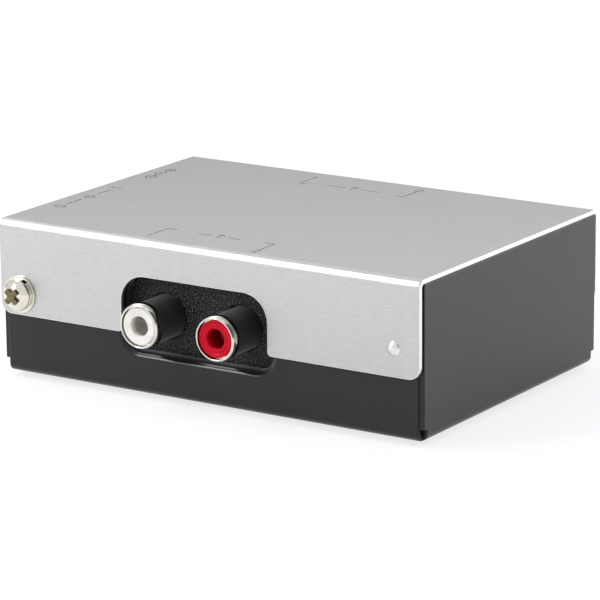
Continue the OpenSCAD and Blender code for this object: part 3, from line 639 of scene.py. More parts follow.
def cover_blank():
    """The cover's outline and holes on the flat sheet, and where its bends start."""
    flat = case_d / 2 - COVER_BEND
    edge = on_wall(top_z - skirt_z, flat, COVER_BEND)
    notch = on_wall(top_z - opening_z, flat, COVER_BEND)
    half = cover_w / 2
    left = opening_x - OPENING_W / 2
    right = opening_x + OPENING_W / 2
    front = [(-half, -edge, SKIRT_CORNER_R), (left, -edge, NOTCH_FOOT_R),
             (left, -notch, OPENING_TOP_R), (right, -notch, OPENING_TOP_R),
             (right, -edge, NOTCH_FOOT_R), (half, -edge, SKIRT_CORNER_R)]
    outline = front + [(x, -y, r) for x, y, r in reversed(front)]
    loops = [rounded(outline)]
    loops.append(circle(screw_at.x - case_x, -on_wall(top_z - screw_at.z, flat, COVER_BEND),
                        THREAD_R + HOLE_GAP))
    loops.append(circle(rivet_at.x - case_x, -on_wall(top_z - rivet_at.z, flat, COVER_BEND),
                        RIVET_SHANK_R))
    for x in back_screws_x:
        loops.append(circle(x - case_x, on_wall(top_z - back_screw_z, flat, COVER_BEND),
                            BACK_THREAD_R + HOLE_GAP))
    return loops, flat


def fold_cover():
    """The cover, cut and folded."""
    loops, flat = cover_blank()
    shape = plate(loops, COVER_T, [COVER_RIM] * len(loops))
    cut_across(shape, "y", bend_lines(flat, COVER_BEND))
    blank_map(shape)
    for v in shape.verts:
        out, down = folded(v.co.y, v.co.z, flat, COVER_BEND)
        v.co = (v.co.x + case_x, out, top_z - down)
    return shape


store(fold_cover(), "folded_cover", "case", [cover_finish, cover_edge_finish],
      stands_for=["top_cover"])

# %% [markdown]
# ## Tray
# The tray's blank is a cross: a floor with four flaps. A relief is cut between neighbouring
# flaps right through the bend, or the corner would tear, and it stays open as a small dark
# hole at each lower corner. The jacks look out of a cut-out in each end flap. Its edge is
# drawn inwards round a radius until it meets the jack plate, so a plug's skirt slides over a
# soft lip and the plate has something to sit against.

# %% Cut and fold the tray
TRAY_T = 1.0
TRAY_BEND = 1.4
TRAY_RIM = 0.15
CORNER_GAP = 0.06
WALL_TOP_GAP = 0.35
SIDE_SETBACK = 0.4
RELIEF_TOP = 3.3
RELIEF_LEN = 1.1
RELIEF_R = 0.3
RELIEF_SIDE_R = 0.25
CUTOUT_MARGIN = 0.25
LIP_R = 1.4
LIP_TIP = 0.12
LIP_TO_PLATE = 0.05
LIP_CORNER_R = 3.5
SLOT_GAP = 0.5
NOSE_GAP = 0.15
POST_HOLE_R = 2.0
POST_HALF = 2.5
TRAY_TOP_R = 0.5
WALL_HOLE_RIM = 0.1
FLOOR_HOLE_RIM = 0.05

lip_z = plate_low.z + PLATE_MARGIN
switch_at = centre("power_switch_shell")
knob_low, knob_high = span("power_switch_slider")
inlet_at = centre("dc_inlet_pin")
post_low, post_high = span("board_posts")
foot_low, foot_high = span("rubber_feet")
KNOB_L = 3.0
KNOB_H = 2.0
TRAVEL = 2.0
NOSE_R = 4.0


def drawn_lip(reach):
    """Levels of the edge that is drawn inwards: round the bend, along the lip, and back."""
    inner_r = LIP_R - TRAY_T
    bend = [(LIP_R - LIP_R * sin(a), LIP_R * cos(a) - LIP_R) for a in quarter(10)]
    back = [(LIP_R - inner_r * sin(a), inner_r * cos(a) - LIP_R) for a in reversed(quarter(5))]
    tip = [(0, LIP_TIP - reach), (LIP_TIP, -reach), (TRAY_T - LIP_TIP, -reach),
           (TRAY_T, LIP_TIP - reach)]
    return bend + tip + back


def tray_blank():
    """The tray's outline, holes and rims on the flat sheet, and where its bends start."""
    flat_x = tray_w / 2 - TRAY_BEND
    flat_y = tray_high.y - TRAY_BEND
    end_x = tray_w / 2 - TRAY_T - CORNER_GAP
    end_edge = on_wall(tray_high.z - WALL_TOP_GAP - under_z, flat_y, TRAY_BEND)
    side_edge = on_wall(tray_high.z - under_z, flat_x, TRAY_BEND)
    side_y = tray_high.y - SIDE_SETBACK
    relief_x = on_wall(RELIEF_TOP - under_z, flat_x, TRAY_BEND)
    relief_y = side_y - RELIEF_LEN
    corner = [(end_x, -end_edge, TRAY_TOP_R), (end_x, -relief_y, RELIEF_R),
              (relief_x, -relief_y, RELIEF_R), (relief_x, -side_y, RELIEF_SIDE_R),
              (side_edge, -side_y, TRAY_TOP_R)]
    right = corner + [(x, -y, r) for x, y, r in reversed(corner)]
    loops = [rounded(right + [(-x, -y, r) for x, y, r in right])]
    rims = [TRAY_RIM]
    for end in (-1, 1):
        low = end * on_wall(lip_z - under_z, flat_y, TRAY_BEND)
        top = end * on_wall(opening_z + CUTOUT_MARGIN - under_z, flat_y, TRAY_BEND)
        half = OPENING_W / 2 + CUTOUT_MARGIN
        loops.append(rounded([(opening_x - half, low, LIP_CORNER_R),
                              (opening_x + half, low, LIP_CORNER_R),
                              (opening_x + half, top, OPENING_TOP_R),
                              (opening_x - half, top, OPENING_TOP_R)]))
        rims.append(drawn_lip(tray_high.y + plate_low.y - LIP_TO_PLATE))
    end_holes = [(screw_at.x, -1, screw_at.z, THREAD_R + HOLE_GAP),
                 (rivet_at.x, -1, rivet_at.z, RIVET_SHANK_R)]
    end_holes += [(x, 1, back_screw_z, BACK_THREAD_R + HOLE_GAP) for x in back_screws_x]
    for x, end, z, radius in end_holes:
        loops.append(circle(x - case_x, end * on_wall(z - under_z, flat_y, TRAY_BEND), radius))
        rims.append(WALL_HOLE_RIM)
    loops.append(circle(-on_wall(inlet_at.z - under_z, flat_x, TRAY_BEND), inlet_at.y,
                        NOSE_R + NOSE_GAP))
    rims.append(WALL_HOLE_RIM)
    loops.append(rectangle(-on_wall(switch_at.z - under_z, flat_x, TRAY_BEND), switch_at.y,
                           KNOB_H + 2 * SLOT_GAP, KNOB_L + TRAVEL + 2 * SLOT_GAP, SLOT_GAP))
    rims.append(WALL_HOLE_RIM)
    for x in (post_low.x, post_high.x):
        for y in (post_low.y, post_high.y):
            # The posts are hexagons with their corners along X and their flats across Y
            across = POST_HALF * sqrt(4 / 3)
            post_x = x - case_x + (across if x < case_x else -across)
            post_y = y + (POST_HALF if y < 0 else -POST_HALF)
            loops.append(circle(post_x, post_y, POST_HOLE_R))
            rims.append(FLOOR_HOLE_RIM)
    return loops, rims, flat_x, flat_y, end_x


def fold_tray():
    """The tray, cut and folded: end flaps round X, side flaps round Y."""
    loops, rims, flat_x, flat_y, end_x = tray_blank()
    shape = plate(loops, TRAY_T, rims)
    cut_across(shape, "x", bend_lines(flat_x, TRAY_BEND))
    cut_across(shape, "y", bend_lines(flat_y, TRAY_BEND))
    blank_map(shape)
    for v in shape.verts:
        if abs(v.co.y) > flat_y and abs(v.co.x) < end_x + CORNER_GAP / 2:
            out, up = folded(v.co.y, v.co.z, flat_y, TRAY_BEND)
            x, y = v.co.x, out
        else:
            out, up = folded(v.co.x, v.co.z, flat_x, TRAY_BEND)
            x, y = out, v.co.y
        v.co = (x + case_x, y, under_z + up)
    return shape


store(fold_tray(), "folded_tray", "case", [paint, edge_paint], stands_for=["tray"])

# %% [markdown]
# ## Jack plates
# A thin plate with a coarse moulded grain closes each opening behind the jacks. The jacks'
# barrels pass through its two round holes with a thin dark gap round them.

# %% Mould the jack plates
BARREL_HOLE_R = 4.25
HOLE_SIDES = 72
PLATE_CORNER_R = 1.0
PLATE_RIM = 0.2


def jack_xs(end_name):
    """Where the two jacks of an end sit along X."""
    return [centre(f"{end_name}_{side}_ring").x for side in ("left", "right")]


for end, end_name in ((-1, "input"), (1, "output")):
    low, high = span(f"{end_name}_jack_plate")
    middle = (low + high) / 2
    jack_z = centre(f"{end_name}_left_ring").z
    loops = [rectangle(0, 0, high.x - low.x, high.z - low.z, PLATE_CORNER_R)]
    loops += [circle(x - middle.x, jack_z - middle.z, BARREL_HOLE_R, HOLE_SIDES)
              for x in jack_xs(end_name)]
    shape = plate(loops, high.y - low.y, [PLATE_RIM] * 3)
    front = max(abs(low.y), abs(high.y))
    store(shape, f"{end_name}_grained_plate", "case", [grained_abs_painted_glints, grained_abs_painted_glints],
          place=out_of(end, middle.x, end * front, middle.z),
          stands_for=[f"{end_name}_jack_plate"])

# %% [markdown]
# ## Phono jacks
# Each jack is a plated collar, drawn from brass with a rolled lip, pushed on a plastic
# barrel until it laps over the barrel's front. Its mouth is a little wider than its bore.
# An insert in white or red fills it, a little below the lip and slightly dished, with a fine
# crevice round it and a funnel round the pin hole that guides the plug. The red one has a
# fine groove round its face. Lathe profiles give all of these, because the eye reads the
# jack from the thin highlights on its lips.

# %% Turn the collars and the inserts
SLEEVE_R = 3.65
RING_LEN = 1.5
RING_WALL = 0.75
CREST_W = 0.14
CURVE_LEN = 1.15
MOUTH_STEP = 0.2
MOUTH_DEPTH = 1.2
LAP_R = 4.03
LAP = 0.5
PIN_HOLE_R = 1.8
PIN_HOLE_LEN = 6.0
FUNNEL_R = 1.95
FUNNEL_DEPTH = 0.2
LAND = 1.0
CHAMBER_R = 2.6
SEAT_T = 0.4
POCKET_R = 2.15
DISH = 0.12
GROOVE_R = 2.7
GROOVE = 0.07
CREVICE = 0.18
CREVICE_DEPTH = 0.7
FACE_BEVEL_W = 0.17
FACE_BEVEL_H = 0.12
FACE_TOP_R = 0.1
SOFT_R = 0.08
CHAMBER_CORNER_R = 0.2
FUNNEL_THROAT_R = 0.18
FUNNEL_LIP_R = 0.13
LAND_CORNER_R = 0.12
STEP_R = 0.05


def collar_profile(radius, front, back):
    """A thin crest round the mouth, and from it one long curve back to the full diameter.
    The collar laps over the front of the barrel."""
    shoulder = front - RING_LEN
    bore = radius - RING_WALL
    mouth = bore + MOUTH_STEP
    crest = mouth + CREST_W
    inside = rounded([(bore, back, 0), (SLEEVE_R, back, 0), (SLEEVE_R, shoulder, STEP_R),
                      (LAP_R, shoulder, 0), (LAP_R, shoulder - LAP, 0),
                      (radius, shoulder - LAP, SOFT_R), (radius, front - CURVE_LEN, 0)])
    curve = [Vector((crest + (radius - crest) * cos(a), front - CURVE_LEN * (1 - sin(a))))
             for a in quarter(14)[1:]]
    lip = [Vector((mouth + CREST_W * (1 - sin(a)), front - CREST_W * (1 - cos(a))))
           for a in quarter(4)[1:]]
    counterbore = [Vector((mouth, front - MOUTH_DEPTH)), Vector((bore, front - MOUTH_DEPTH))]
    return inside + curve + lip + counterbore


def insert_profile(radius, front, back, grooved):
    """The insert's face, its crevice and the chamber that takes the plug's pin."""
    side = radius + MOUTH_STEP - CREVICE
    face = [(side - FACE_BEVEL_W, front, FACE_TOP_R), (side, front - FACE_BEVEL_H, SOFT_R),
            (side, front - CREVICE_DEPTH, 0), (radius, front - CREVICE_DEPTH - CREVICE, 0)]
    if grooved:
        face = [(GROOVE_R - 2 * GROOVE, front - 0.6 * DISH, 0),
                (GROOVE_R, front - 0.6 * DISH - GROOVE, 0),
                (GROOVE_R + 2 * GROOVE, front - 0.5 * DISH, 0)] + face
    seat = front - PIN_HOLE_LEN
    land = front - DISH - FUNNEL_DEPTH - LAND
    return rounded([(PIN_HOLE_R, seat, 0), (PIN_HOLE_R, seat + SEAT_T, 0),
                    (CHAMBER_R, seat + 2 * SEAT_T, CHAMBER_CORNER_R),
                    (CHAMBER_R, land - SEAT_T, CHAMBER_CORNER_R),
                    (PIN_HOLE_R, land, LAND_CORNER_R),
                    (PIN_HOLE_R, front - DISH - FUNNEL_DEPTH, FUNNEL_THROAT_R),
                    (FUNNEL_R, front - DISH, FUNNEL_LIP_R)] + face
                   + [(radius, back, 0), (POCKET_R, back, 0), (POCKET_R, seat, 0)])


for end, end_name in ((-1, "input"), (1, "output")):
    for side, insert_finish, insert_slot in (("left", white_nylon, "white_insert"),
                                             ("right", red_nylon, "red_insert")):
        low, high = span(f"{end_name}_{side}_ring")
        middle = (low + high) / 2
        place = out_of(end, middle.x, 0, middle.z)
        reach = sorted((abs(low.y), abs(high.y)))
        shape = turned(collar_profile((high.x - low.x) / 2, reach[1], reach[0]), FINE_SIDES)
        store(shape, f"{end_name}_{side}_collar", "case", [nickel], place,
              [f"{end_name}_{side}_ring"], crisp=50)
        low, high = span(f"{end_name}_{side}_insert")
        reach = sorted((abs(low.y), abs(high.y)))
        profile = insert_profile((high.x - low.x) / 2, reach[1], reach[0], side == "right")
        shape = turned(profile, FINE_SIDES)
        store(shape, f"{end_name}_{side}_pin_insert", "case", [insert_finish], place,
              [f"{end_name}_{side}_insert"], crisp=50)

# %% [markdown]
# ## Ground terminal
# A pan-head screw holds a split spring washer and a flat washer, and a turntable's ground
# lead is clamped under them. Its head is a low dome with a cross recess. The recess is
# pressed: its arms taper to the bottom, so it is cut with a tapered cross. The plating
# inside is dull, and its dark colour there is painted shade of the hollow. The thread is a
# real helix: the radius of each ring of points rises and falls with the turn, half a
# millimetre of pitch.

# %% Cut a shape with another
def cut_from(shape, tool):
    """The shape less the space of the tool. The cut faces get material index 1."""
    for face in tool.faces:
        face.material_index = 1
    holders = []
    for part in (shape, tool):
        bmesh.ops.recalc_face_normals(part, faces=part.faces[:])
        mesh = bpy.data.meshes.new("cutting")
        mesh.materials.append(None)
        mesh.materials.append(None)
        part.to_mesh(mesh)
        part.free()
        holder = bpy.data.objects.new("cutting", mesh)
        bpy.context.collection.objects.link(holder)
        holders.append(holder)
    cutting = holders[0].modifiers.new("cut", "BOOLEAN")
    cutting.operation = "DIFFERENCE"
    cutting.solver = "EXACT"
    cutting.object = holders[1]
    bpy.context.view_layer.update()
    result = bmesh.new()
    result.from_object(holders[0], bpy.context.evaluated_depsgraph_get())
    for holder in holders:
        bpy.data.objects.remove(holder)
    return result


# %% Press a cross recess
CROSS_TIP_R = 0.08
CROSS_INNER_R = 0.12
CROSS_ABOVE = 0.5
CROSS_STRAIGHT = 0.15
CROSS_STEP = radians(30)
# The tool's arms at its tip, as shares of their reach and width at its top
CROSS_TAPER = 0.5
CROSS_THIN = 0.75


def cross_outline(a, w):
    """A cross whose arms reach a from the middle and are 2 w wide."""
    arm = [(a, -w, CROSS_TIP_R), (a, w, CROSS_TIP_R), (w, w, CROSS_INNER_R)]
    corners = []
    for _ in range(4):
        corners += arm
        arm = [(-y, x, r) for x, y, r in arm]
    return rounded(corners, CROSS_STEP)


def cross_tool(half_span, half_width, top, depth):
    """A cross that tapers downwards, to press a recess."""
    shape = bmesh.new()
    levels = ((half_span, half_width, top + CROSS_ABOVE),
              (half_span, half_width, top - CROSS_STRAIGHT),
              (half_span * CROSS_TAPER, half_width * CROSS_THIN, top - depth))
    rings = [[shape.verts.new((p.x, p.y, z)) for p in cross_outline(a, w)] for a, w, z in levels]
    skin(shape, rings, capped=True)
    return shape


# %% Wind a thread and build a screw
# Share of the pitch
THREAD_DEPTH = 0.56
THREAD_SIDES = 32
THREAD_ROWS = 8
SHANK_IN_HEAD = 0.3
UNDER_HEAD_R = 0.12
HEAD_STEP = radians(6)
DOME_STEPS = 12
# Shares of the head's radius
HEAD_DOME = 1.45
CROSS_SPAN = 0.54
CROSS_ARM = 0.17
# Shares of the head's height
HEAD_EDGE = 0.3
CROSS_DEPTH = 0.65


def add_thread(shape, radius, pitch, depth, low, high):
    """A threaded shank between two heights."""
    count = ceil((high - low) / pitch * THREAD_ROWS)
    rings = []
    for j in range(count + 1):
        height = low + (high - low) * j / count
        ring = []
        for k in range(THREAD_SIDES):
            turn = k / THREAD_SIDES
            phase = (height / pitch - turn) % 1
            r = radius - depth * abs(2 * phase - 1)
            ring.append(shape.verts.new((r * cos(2 * pi * turn), r * sin(2 * pi * turn), height)))
        rings.append(ring)
    skin(shape, rings, capped=True)


def pan_screw(head_r, head_h, seat, shank_r, pitch, length):
    """A pan-head screw with its head on the plane seat. Its recess gets material index 1."""
    crown = seat + head_h
    dome_r = HEAD_DOME * head_r

    def dome_height(r):
        return crown - dome_r + sqrt(dome_r * dome_r - r * r)

    # The outer third of the dome is left to the rounded edge
    dome_rs = [head_r * k / DOME_STEPS for k in range(2 * DOME_STEPS // 3, -1, -1)]
    profile = rounded([(0, seat, 0), (head_r, seat, UNDER_HEAD_R),
                       (head_r, dome_height(head_r), HEAD_EDGE * head_h)]
                      + [(r, dome_height(r), 0) for r in dome_rs], HEAD_STEP)
    recess = cross_tool(CROSS_SPAN * head_r, CROSS_ARM * head_r, crown, CROSS_DEPTH * head_h)
    shape = cut_from(turned(profile), recess)
    add_thread(shape, shank_r, pitch, THREAD_DEPTH * pitch, seat - length, seat + SHANK_IN_HEAD)
    return shape


# %% Make the terminal's screw and washers
HEAD_R = 2.95
HEAD_H = 1.5
HEAD_TURN = radians(45)
PITCH = 0.5
WASHER_GAP = 0.1
screw_low, screw_high = span("ground_screw")
skirt_y = case_d / 2
head_seat = -screw_low.y - HEAD_H
screw_len = screw_high.y - screw_low.y - HEAD_H
terminal_place = out_of(-1, screw_at.x, 0, screw_at.z)

shape = pan_screw(HEAD_R, HEAD_H, head_seat, THREAD_R, PITCH, screw_len)
bmesh.ops.rotate(shape, verts=shape.verts, matrix=Matrix.Rotation(HEAD_TURN, 3, "Z"))
store(shape, "terminal_pan_screw", "terminal_screw", [screw_nickel, recess_plating_painted_shade],
      terminal_place, ["ground_screw"], crisp=32)


def washer_profile(node, rim):
    """Rounded section of a washer, from the box of its node."""
    low, high = span(node)
    outer = (high.x - low.x) / 2
    bore = THREAD_R + WASHER_GAP
    back = -high.y
    front = -low.y
    return rounded([(bore, back, rim), (outer, back, rim), (outer, front, rim), (bore, front, rim)])


shape = turned(washer_profile("ground_flat_washer", rim=0.07), FINE_SIDES)
store(shape, "terminal_flat_washer", "terminal_washers", [screw_nickel], terminal_place,
      ["ground_flat_washer"])

# %% Split the spring washer
SPLIT_AT = radians(60)
SPLIT_GAP = radians(17)
SPLIT_SIDES = 110


def split_ring(section):
    """A ring of that section, open over a gap at one angle."""
    shape = bmesh.new()
    rings = []
    for k in range(SPLIT_SIDES + 1):
        a = SPLIT_AT + SPLIT_GAP / 2 + (2 * pi - SPLIT_GAP) * k / SPLIT_SIDES
        rings.append([shape.verts.new((p.x * cos(a), p.x * sin(a), p.y)) for p in section])
    skin(shape, rings, capped=True)
    return shape


shape = split_ring(washer_profile("ground_spring_washer", rim=0.1))
store(shape, "terminal_spring_washer", "terminal_washers", [screw_nickel], terminal_place,
      ["ground_spring_washer"])

# %% [markdown]
# ## Rivet and cover screws
# One blind rivet fixes the cover at the front. Its head is a low dome. Two small pan-head
# screws fix it at the back, where the hand rarely goes.

# %% Make the rivet
RIVET_STEPS = 10
RIVET_SIDES = 72


def dome(radius, height, seat, outwards):
    """Points of a dome's profile, from its edge to its top."""
    sphere = (radius * radius + height * height) / (2 * height)
    angles = [asin(radius / sphere) * (1 - k / RIVET_STEPS) for k in range(RIVET_STEPS + 1)]
    return [Vector((sphere * sin(a), seat + outwards * (sphere * cos(a) - sphere + height)))
            for a in angles]


rivet_low, rivet_high = span("cover_rivet")
rivet_r = (rivet_high.x - rivet_low.x) / 2
rivet_h = -rivet_low.y - skirt_y
wall_in = -rivet_high.y + rivet_h
profile = [Vector((0, wall_in - rivet_h))] + dome(rivet_r, rivet_h, wall_in, -1)[-2::-1]
profile += [Vector((RIVET_SHANK_R, wall_in)), Vector((RIVET_SHANK_R, skirt_y))]
profile += dome(rivet_r, rivet_h, skirt_y, 1)
store(turned(profile, RIVET_SIDES), "domed_rivet", "case", [rivet_aluminium],
      out_of(-1, rivet_at.x, 0, rivet_at.z), ["cover_rivet"], crisp=50)

# %% Make the cover screws
BACK_HEAD_H = 1.5
BACK_PITCH = 0.45
back_len = back_high.y - back_low.y - BACK_HEAD_H
for side, x in zip(("left", "right"), back_screws_x):
    shape = pan_screw(back_head_r, BACK_HEAD_H, back_high.y - BACK_HEAD_H, BACK_THREAD_R,
                      BACK_PITCH, back_len)
    store(shape, f"cover_screw_{side}", "case", [zinc, recess_plating_painted_shade], out_of(1, x, 0, back_screw_z),
          ["cover_screws"], crisp=32)

# %% [markdown]
# ## Switch knob and feet
# The switch's knob is a small moulded block with four ribs for the fingertip, on a stem
# that joins it to the carriage inside. The feet are thin rubber discs.

# %% Make the knob
RIBS = 4
RIB_DEPTH = 0.35
RIB_TOP_R = 0.12
RIB_FOOT_R = 0.06
RIB_SLOPE = 0.2
RIB_SETBACK = 0.02
KNOB_CORNER_R = 0.1
KNOB_RIM = 0.15
CARRIAGE_GAP = 0.8
CARRIAGE_CORNER_R = 0.2
CARRIAGE_RIM = 0.1
carriage_x = -tray_w / 2 + case_x + TRAY_T + CARRIAGE_GAP


def ribbed_knob():
    """The knob seen from above: ribs on its outer end, and the carriage at its inner end."""
    middle = knob_low.y + (knob_high.y - knob_low.y) / 2
    half = KNOB_L / 2
    rib = KNOB_L / (2 * RIBS - 1)
    outer = knob_low.x
    root = outer + RIB_DEPTH
    corners = [(carriage_x, middle + half, 0), (carriage_x, middle - half, 0),
               (root, middle - half, KNOB_CORNER_R)]
    for k in range(RIBS):
        base = middle - half + 2 * k * rib
        corners += [(outer, base + RIB_SETBACK, RIB_TOP_R), (outer, base + rib, RIB_TOP_R)]
        if k < RIBS - 1:
            corners += [(root, base + (1 + RIB_SLOPE) * rib, RIB_FOOT_R),
                        (root, base + (2 - RIB_SLOPE) * rib, RIB_FOOT_R)]
    corners.append((root, middle + half, KNOB_CORNER_R))
    return rounded(corners)


shape = plate([ribbed_knob()], KNOB_H, [KNOB_RIM])
store(shape, "switch_knob_ribbed", "switch_knob", [switch_nylon, switch_nylon],
      Matrix.Translation((0, 0, switch_at.z + KNOB_H / 2)), ["power_switch_slider"])
shape = plate([rectangle((carriage_x + knob_high.x) / 2, (knob_low.y + knob_high.y) / 2,
                         knob_high.x - carriage_x, knob_high.y - knob_low.y,
                         CARRIAGE_CORNER_R)],
              knob_high.z - knob_low.z, [CARRIAGE_RIM])
store(shape, "switch_carriage", "switch_knob", [switch_nylon, switch_nylon],
      Matrix.Translation((0, 0, knob_high.z)), [])

# %% Mould the feet
FOOT_R = 4.0
FOOT_EDGE_R = 0.3
FOOT_TOP_R = 0.05
FOOT_SIDES = 64
foot_h = foot_high.z - foot_low.z
for x_name, x in (("left", foot_low.x + FOOT_R), ("right", foot_high.x - FOOT_R)):
    for y_name, y in (("front", foot_low.y + FOOT_R), ("back", foot_high.y - FOOT_R)):
        profile = rounded([(0, 0, 0), (FOOT_R, 0, FOOT_EDGE_R), (FOOT_R, foot_h, FOOT_TOP_R),
                           (0, foot_h, 0)])
        store(turned(profile, FOOT_SIDES), f"foot_{y_name}_{x_name}", "case", [foot_rubber],
              Matrix.Translation((x, y, foot_low.z)), ["rubber_feet"])

# %% [markdown]
# ## Pieces that keep their constructed shape
# What sits inside the case keeps the solids of the construction model. They get the same
# care in their finishes, because the side, the back and the cut-outs let them be seen.

# %% Finish the constructed pieces
kept = {
    "input_jack_housing": satin_abs, "output_jack_housing": satin_abs,
    "input_contacts": brass, "output_contacts": brass, "ground_nut": zinc, "cover_nuts": zinc,
    "circuit_board": laminate, "board_posts": brass, "board_screws": zinc,
    "power_switch_shell": switch_shell_steel, "power_switch_pins": tin,
    "dc_inlet_body": inlet_nylon, "dc_inlet_pin": tin, "dc_inlet_tags": tin,
    "op_amps": chip_epoxy, "electrolytic_capacitors": can_sleeve,
    "film_capacitors": dipped_epoxy, "resistors": resistor_lacquer,
    "voltage_regulator": chip_epoxy, "supply_diode": chip_epoxy,
}
for node, finish in kept.items():
    for material_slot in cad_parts[node].material_slots:
        material_slot.link = "OBJECT"
        material_slot.material = finish
print(len(kept), "nodes keep their solids")

# %% [markdown]
# ## Printed marks
# The cover carries thin printed marks that say what each connector is for. Lines with a
# corner point to the channels, 1 and 2. An arrow between two rules shows the way of the
# signal at each end, the switch has 0, 1 and the power symbol, and the inlet has the
# usual polarity symbol. Screen-printed ink stands about a hundredth of a millimetre proud,
# so each stroke is a thin ribbon of its own, with mitred corners.

# %% Draw strokes
INK_W = 0.27
INK_H = 0.012
INK_SINK = 0.002
DIGIT_ROUND = 0.28
SHARPEST_STROKE = 0.5


def ink_ribbon(shape, points, closed):
    """Adds one stroke along a line of points on the top of the cover."""
    points = [Vector(p) for p in points]
    count = len(points)
    sides = []
    for i, here in enumerate(points):
        before = here - points[i - 1] if (i > 0 or closed) else points[1] - here
        after = points[(i + 1) % count] - here if (i < count - 1 or closed) else before
        before.normalize()
        after.normalize()
        mitre = Vector((-before.y - after.y, before.x + after.x)).normalized()
        reach = INK_W / 2 / max(mitre.dot(Vector((-after.y, after.x))), SHARPEST_STROKE)
        sides.append((here + mitre * reach, here - mitre * reach))
    rings = [[shape.verts.new((a.x, a.y, 0)), shape.verts.new((a.x, a.y, INK_H)),
              shape.verts.new((b.x, b.y, INK_H)), shape.verts.new((b.x, b.y, 0))]
             for a, b in sides]
    skin(shape, rings, closed, capped=not closed)


def arc(x, y, radius, start, end, count=20):
    """Points of an arc between two angles in degrees."""
    return [(x + radius * cos(radians(start + (end - start) * k / count)),
             y + radius * sin(radians(start + (end - start) * k / count)))
            for k in range(count + 1)]


def digit(number, x, y, height):
    """The strokes of a 0, 1 or 2 whose middle is at x, y, each with True if it is closed."""
    h = height / 2
    r = height * DIGIT_ROUND
    if number == 0:
        loop = arc(x, y + h - r, r, 0, 180) + arc(x, y - h + r, r, 180, 360)
        return [(loop, True)]
    if number == 1:
        stem = x + 0.2 * r
        return [([(x - 0.6 * r, y + h - r), (stem, y + h), (stem, y - h)], False)]
    top = arc(x, y + h - r, r, 165, -35)
    return [(top + [(x - r, y - h), (x + r, y - h)], False)]


def turned_left(strokes, x, y):
    """Strokes turned a quarter to the left about a point, to read along the left edge."""
    return [([(x - (py - y), y + (px - x)) for px, py in points], closed)
            for points, closed in strokes]


def ink():
    """Grey screen ink: matt, a little uneven where the mesh of the screen let it through."""
    mesh_gap = 0.2
    ink_depth = 0.002
    finish, tree, shader = begin("grey_screen_ink", IOR=1.5, Roughness=0.6)
    place = add(tree, "ShaderNodeTexCoord")
    spots = add(tree, "ShaderNodeTexNoise", {"Vector": place.outputs["Object"],
                                             "Scale": per_metre(mesh_gap), "Detail": 2.0})
    connect(tree, shader, spots.outputs["Fac"], ("#4c4c50", "#626266"), spots.outputs["Fac"],
            ink_depth)
    return finish


ink_finish = ink()


def print_mark(name, strokes):
    """Prints strokes given from the middle of the case."""
    shape = bmesh.new()
    for points, closed in strokes:
        ink_ribbon(shape, points, closed)
    store(shape, name, "case", [ink_finish], Matrix.Translation((case_x, 0, top_z - INK_SINK)))


# %% Print the marks of both ends
DIGIT_H = 1.9
DIGIT_GAP = 0.55
ARROW_HALF_W = 0.75
ARROW_HALF_L = 1.3
SHAFT_END = 0.95
BARBS_AT = 0.55
RULE_GAP = 1.7
left_x = -13.85
right_x = 9.25
flow_x = -2.4


def channel_mark(x, y, inwards, leg, number):
    """A line with a corner, and the channel's number past the end of its leg."""
    corner = [(x + inwards, y), (x, y), (x, y + leg)]
    past = y + leg + (DIGIT_GAP + DIGIT_H / 2) * (1 if leg > 0 else -1)
    return [(corner, False)] + digit(number, x, past, DIGIT_H)


def flow_mark(x, y, half_length):
    """An arrow towards the back between two rules."""
    shaft = [(x, y - ARROW_HALF_L), (x, y + SHAFT_END)]
    head = [(x - ARROW_HALF_W, y + BARBS_AT), (x, y + ARROW_HALF_L),
            (x + ARROW_HALF_W, y + BARBS_AT)]
    rules = [([(x + s * RULE_GAP, y), (x + s * half_length, y)], False) for s in (-1, 1)]
    return [(shaft, False), (head, False)] + rules


print_mark("input_channel_marks",
           channel_mark(left_x, y=-22.1, inwards=2.0, leg=-4.3, number=1)
           + channel_mark(right_x, y=-22.15, inwards=-2.2, leg=-4.35, number=2))
print_mark("input_flow_mark", flow_mark(flow_x, y=-22.5, half_length=4.5))
print_mark("output_channel_marks",
           channel_mark(left_x, y=21.3, inwards=1.6, leg=3.6, number=1)
           + channel_mark(right_x, y=21.3, inwards=-1.7, leg=4.6, number=2))
print_mark("output_flow_mark", flow_mark(flow_x, y=22.35, half_length=5.9))

# %% Print the marks of the switch
SIDE_DIGIT_H = 2.2
POWER_R = 0.95
POWER_LINE = (0.1, 1.35)
side_x = -41.45
zero_y = -17.85
power_y = -8.7
one_y = -0.1
rule_ends = ((-15.7, -11.2), (-6.2, -2.0))

zero = turned_left(digit(0, side_x, zero_y, SIDE_DIGIT_H), side_x, zero_y)
one = turned_left(digit(1, side_x, one_y, SIDE_DIGIT_H), side_x, one_y)
power = turned_left([(arc(side_x, power_y, POWER_R, start=125, end=415), False),
                     ([(side_x, power_y + reach) for reach in POWER_LINE], False)],
                    side_x, power_y)
rules = [([(side_x, y) for y in ends], False) for ends in rule_ends]
print_mark("switch_marks", zero + one + power + rules)

# %% Print the polarity mark of the inlet
SYMBOL_R = 1.0
SYMBOL_AT = 3.35
BAR = 0.5
PLUS_GAP = 0.15
LINK_GAP = 0.1
LINK_END = 1.3
SOCKET_R = 1.1
PIN_R = 0.18

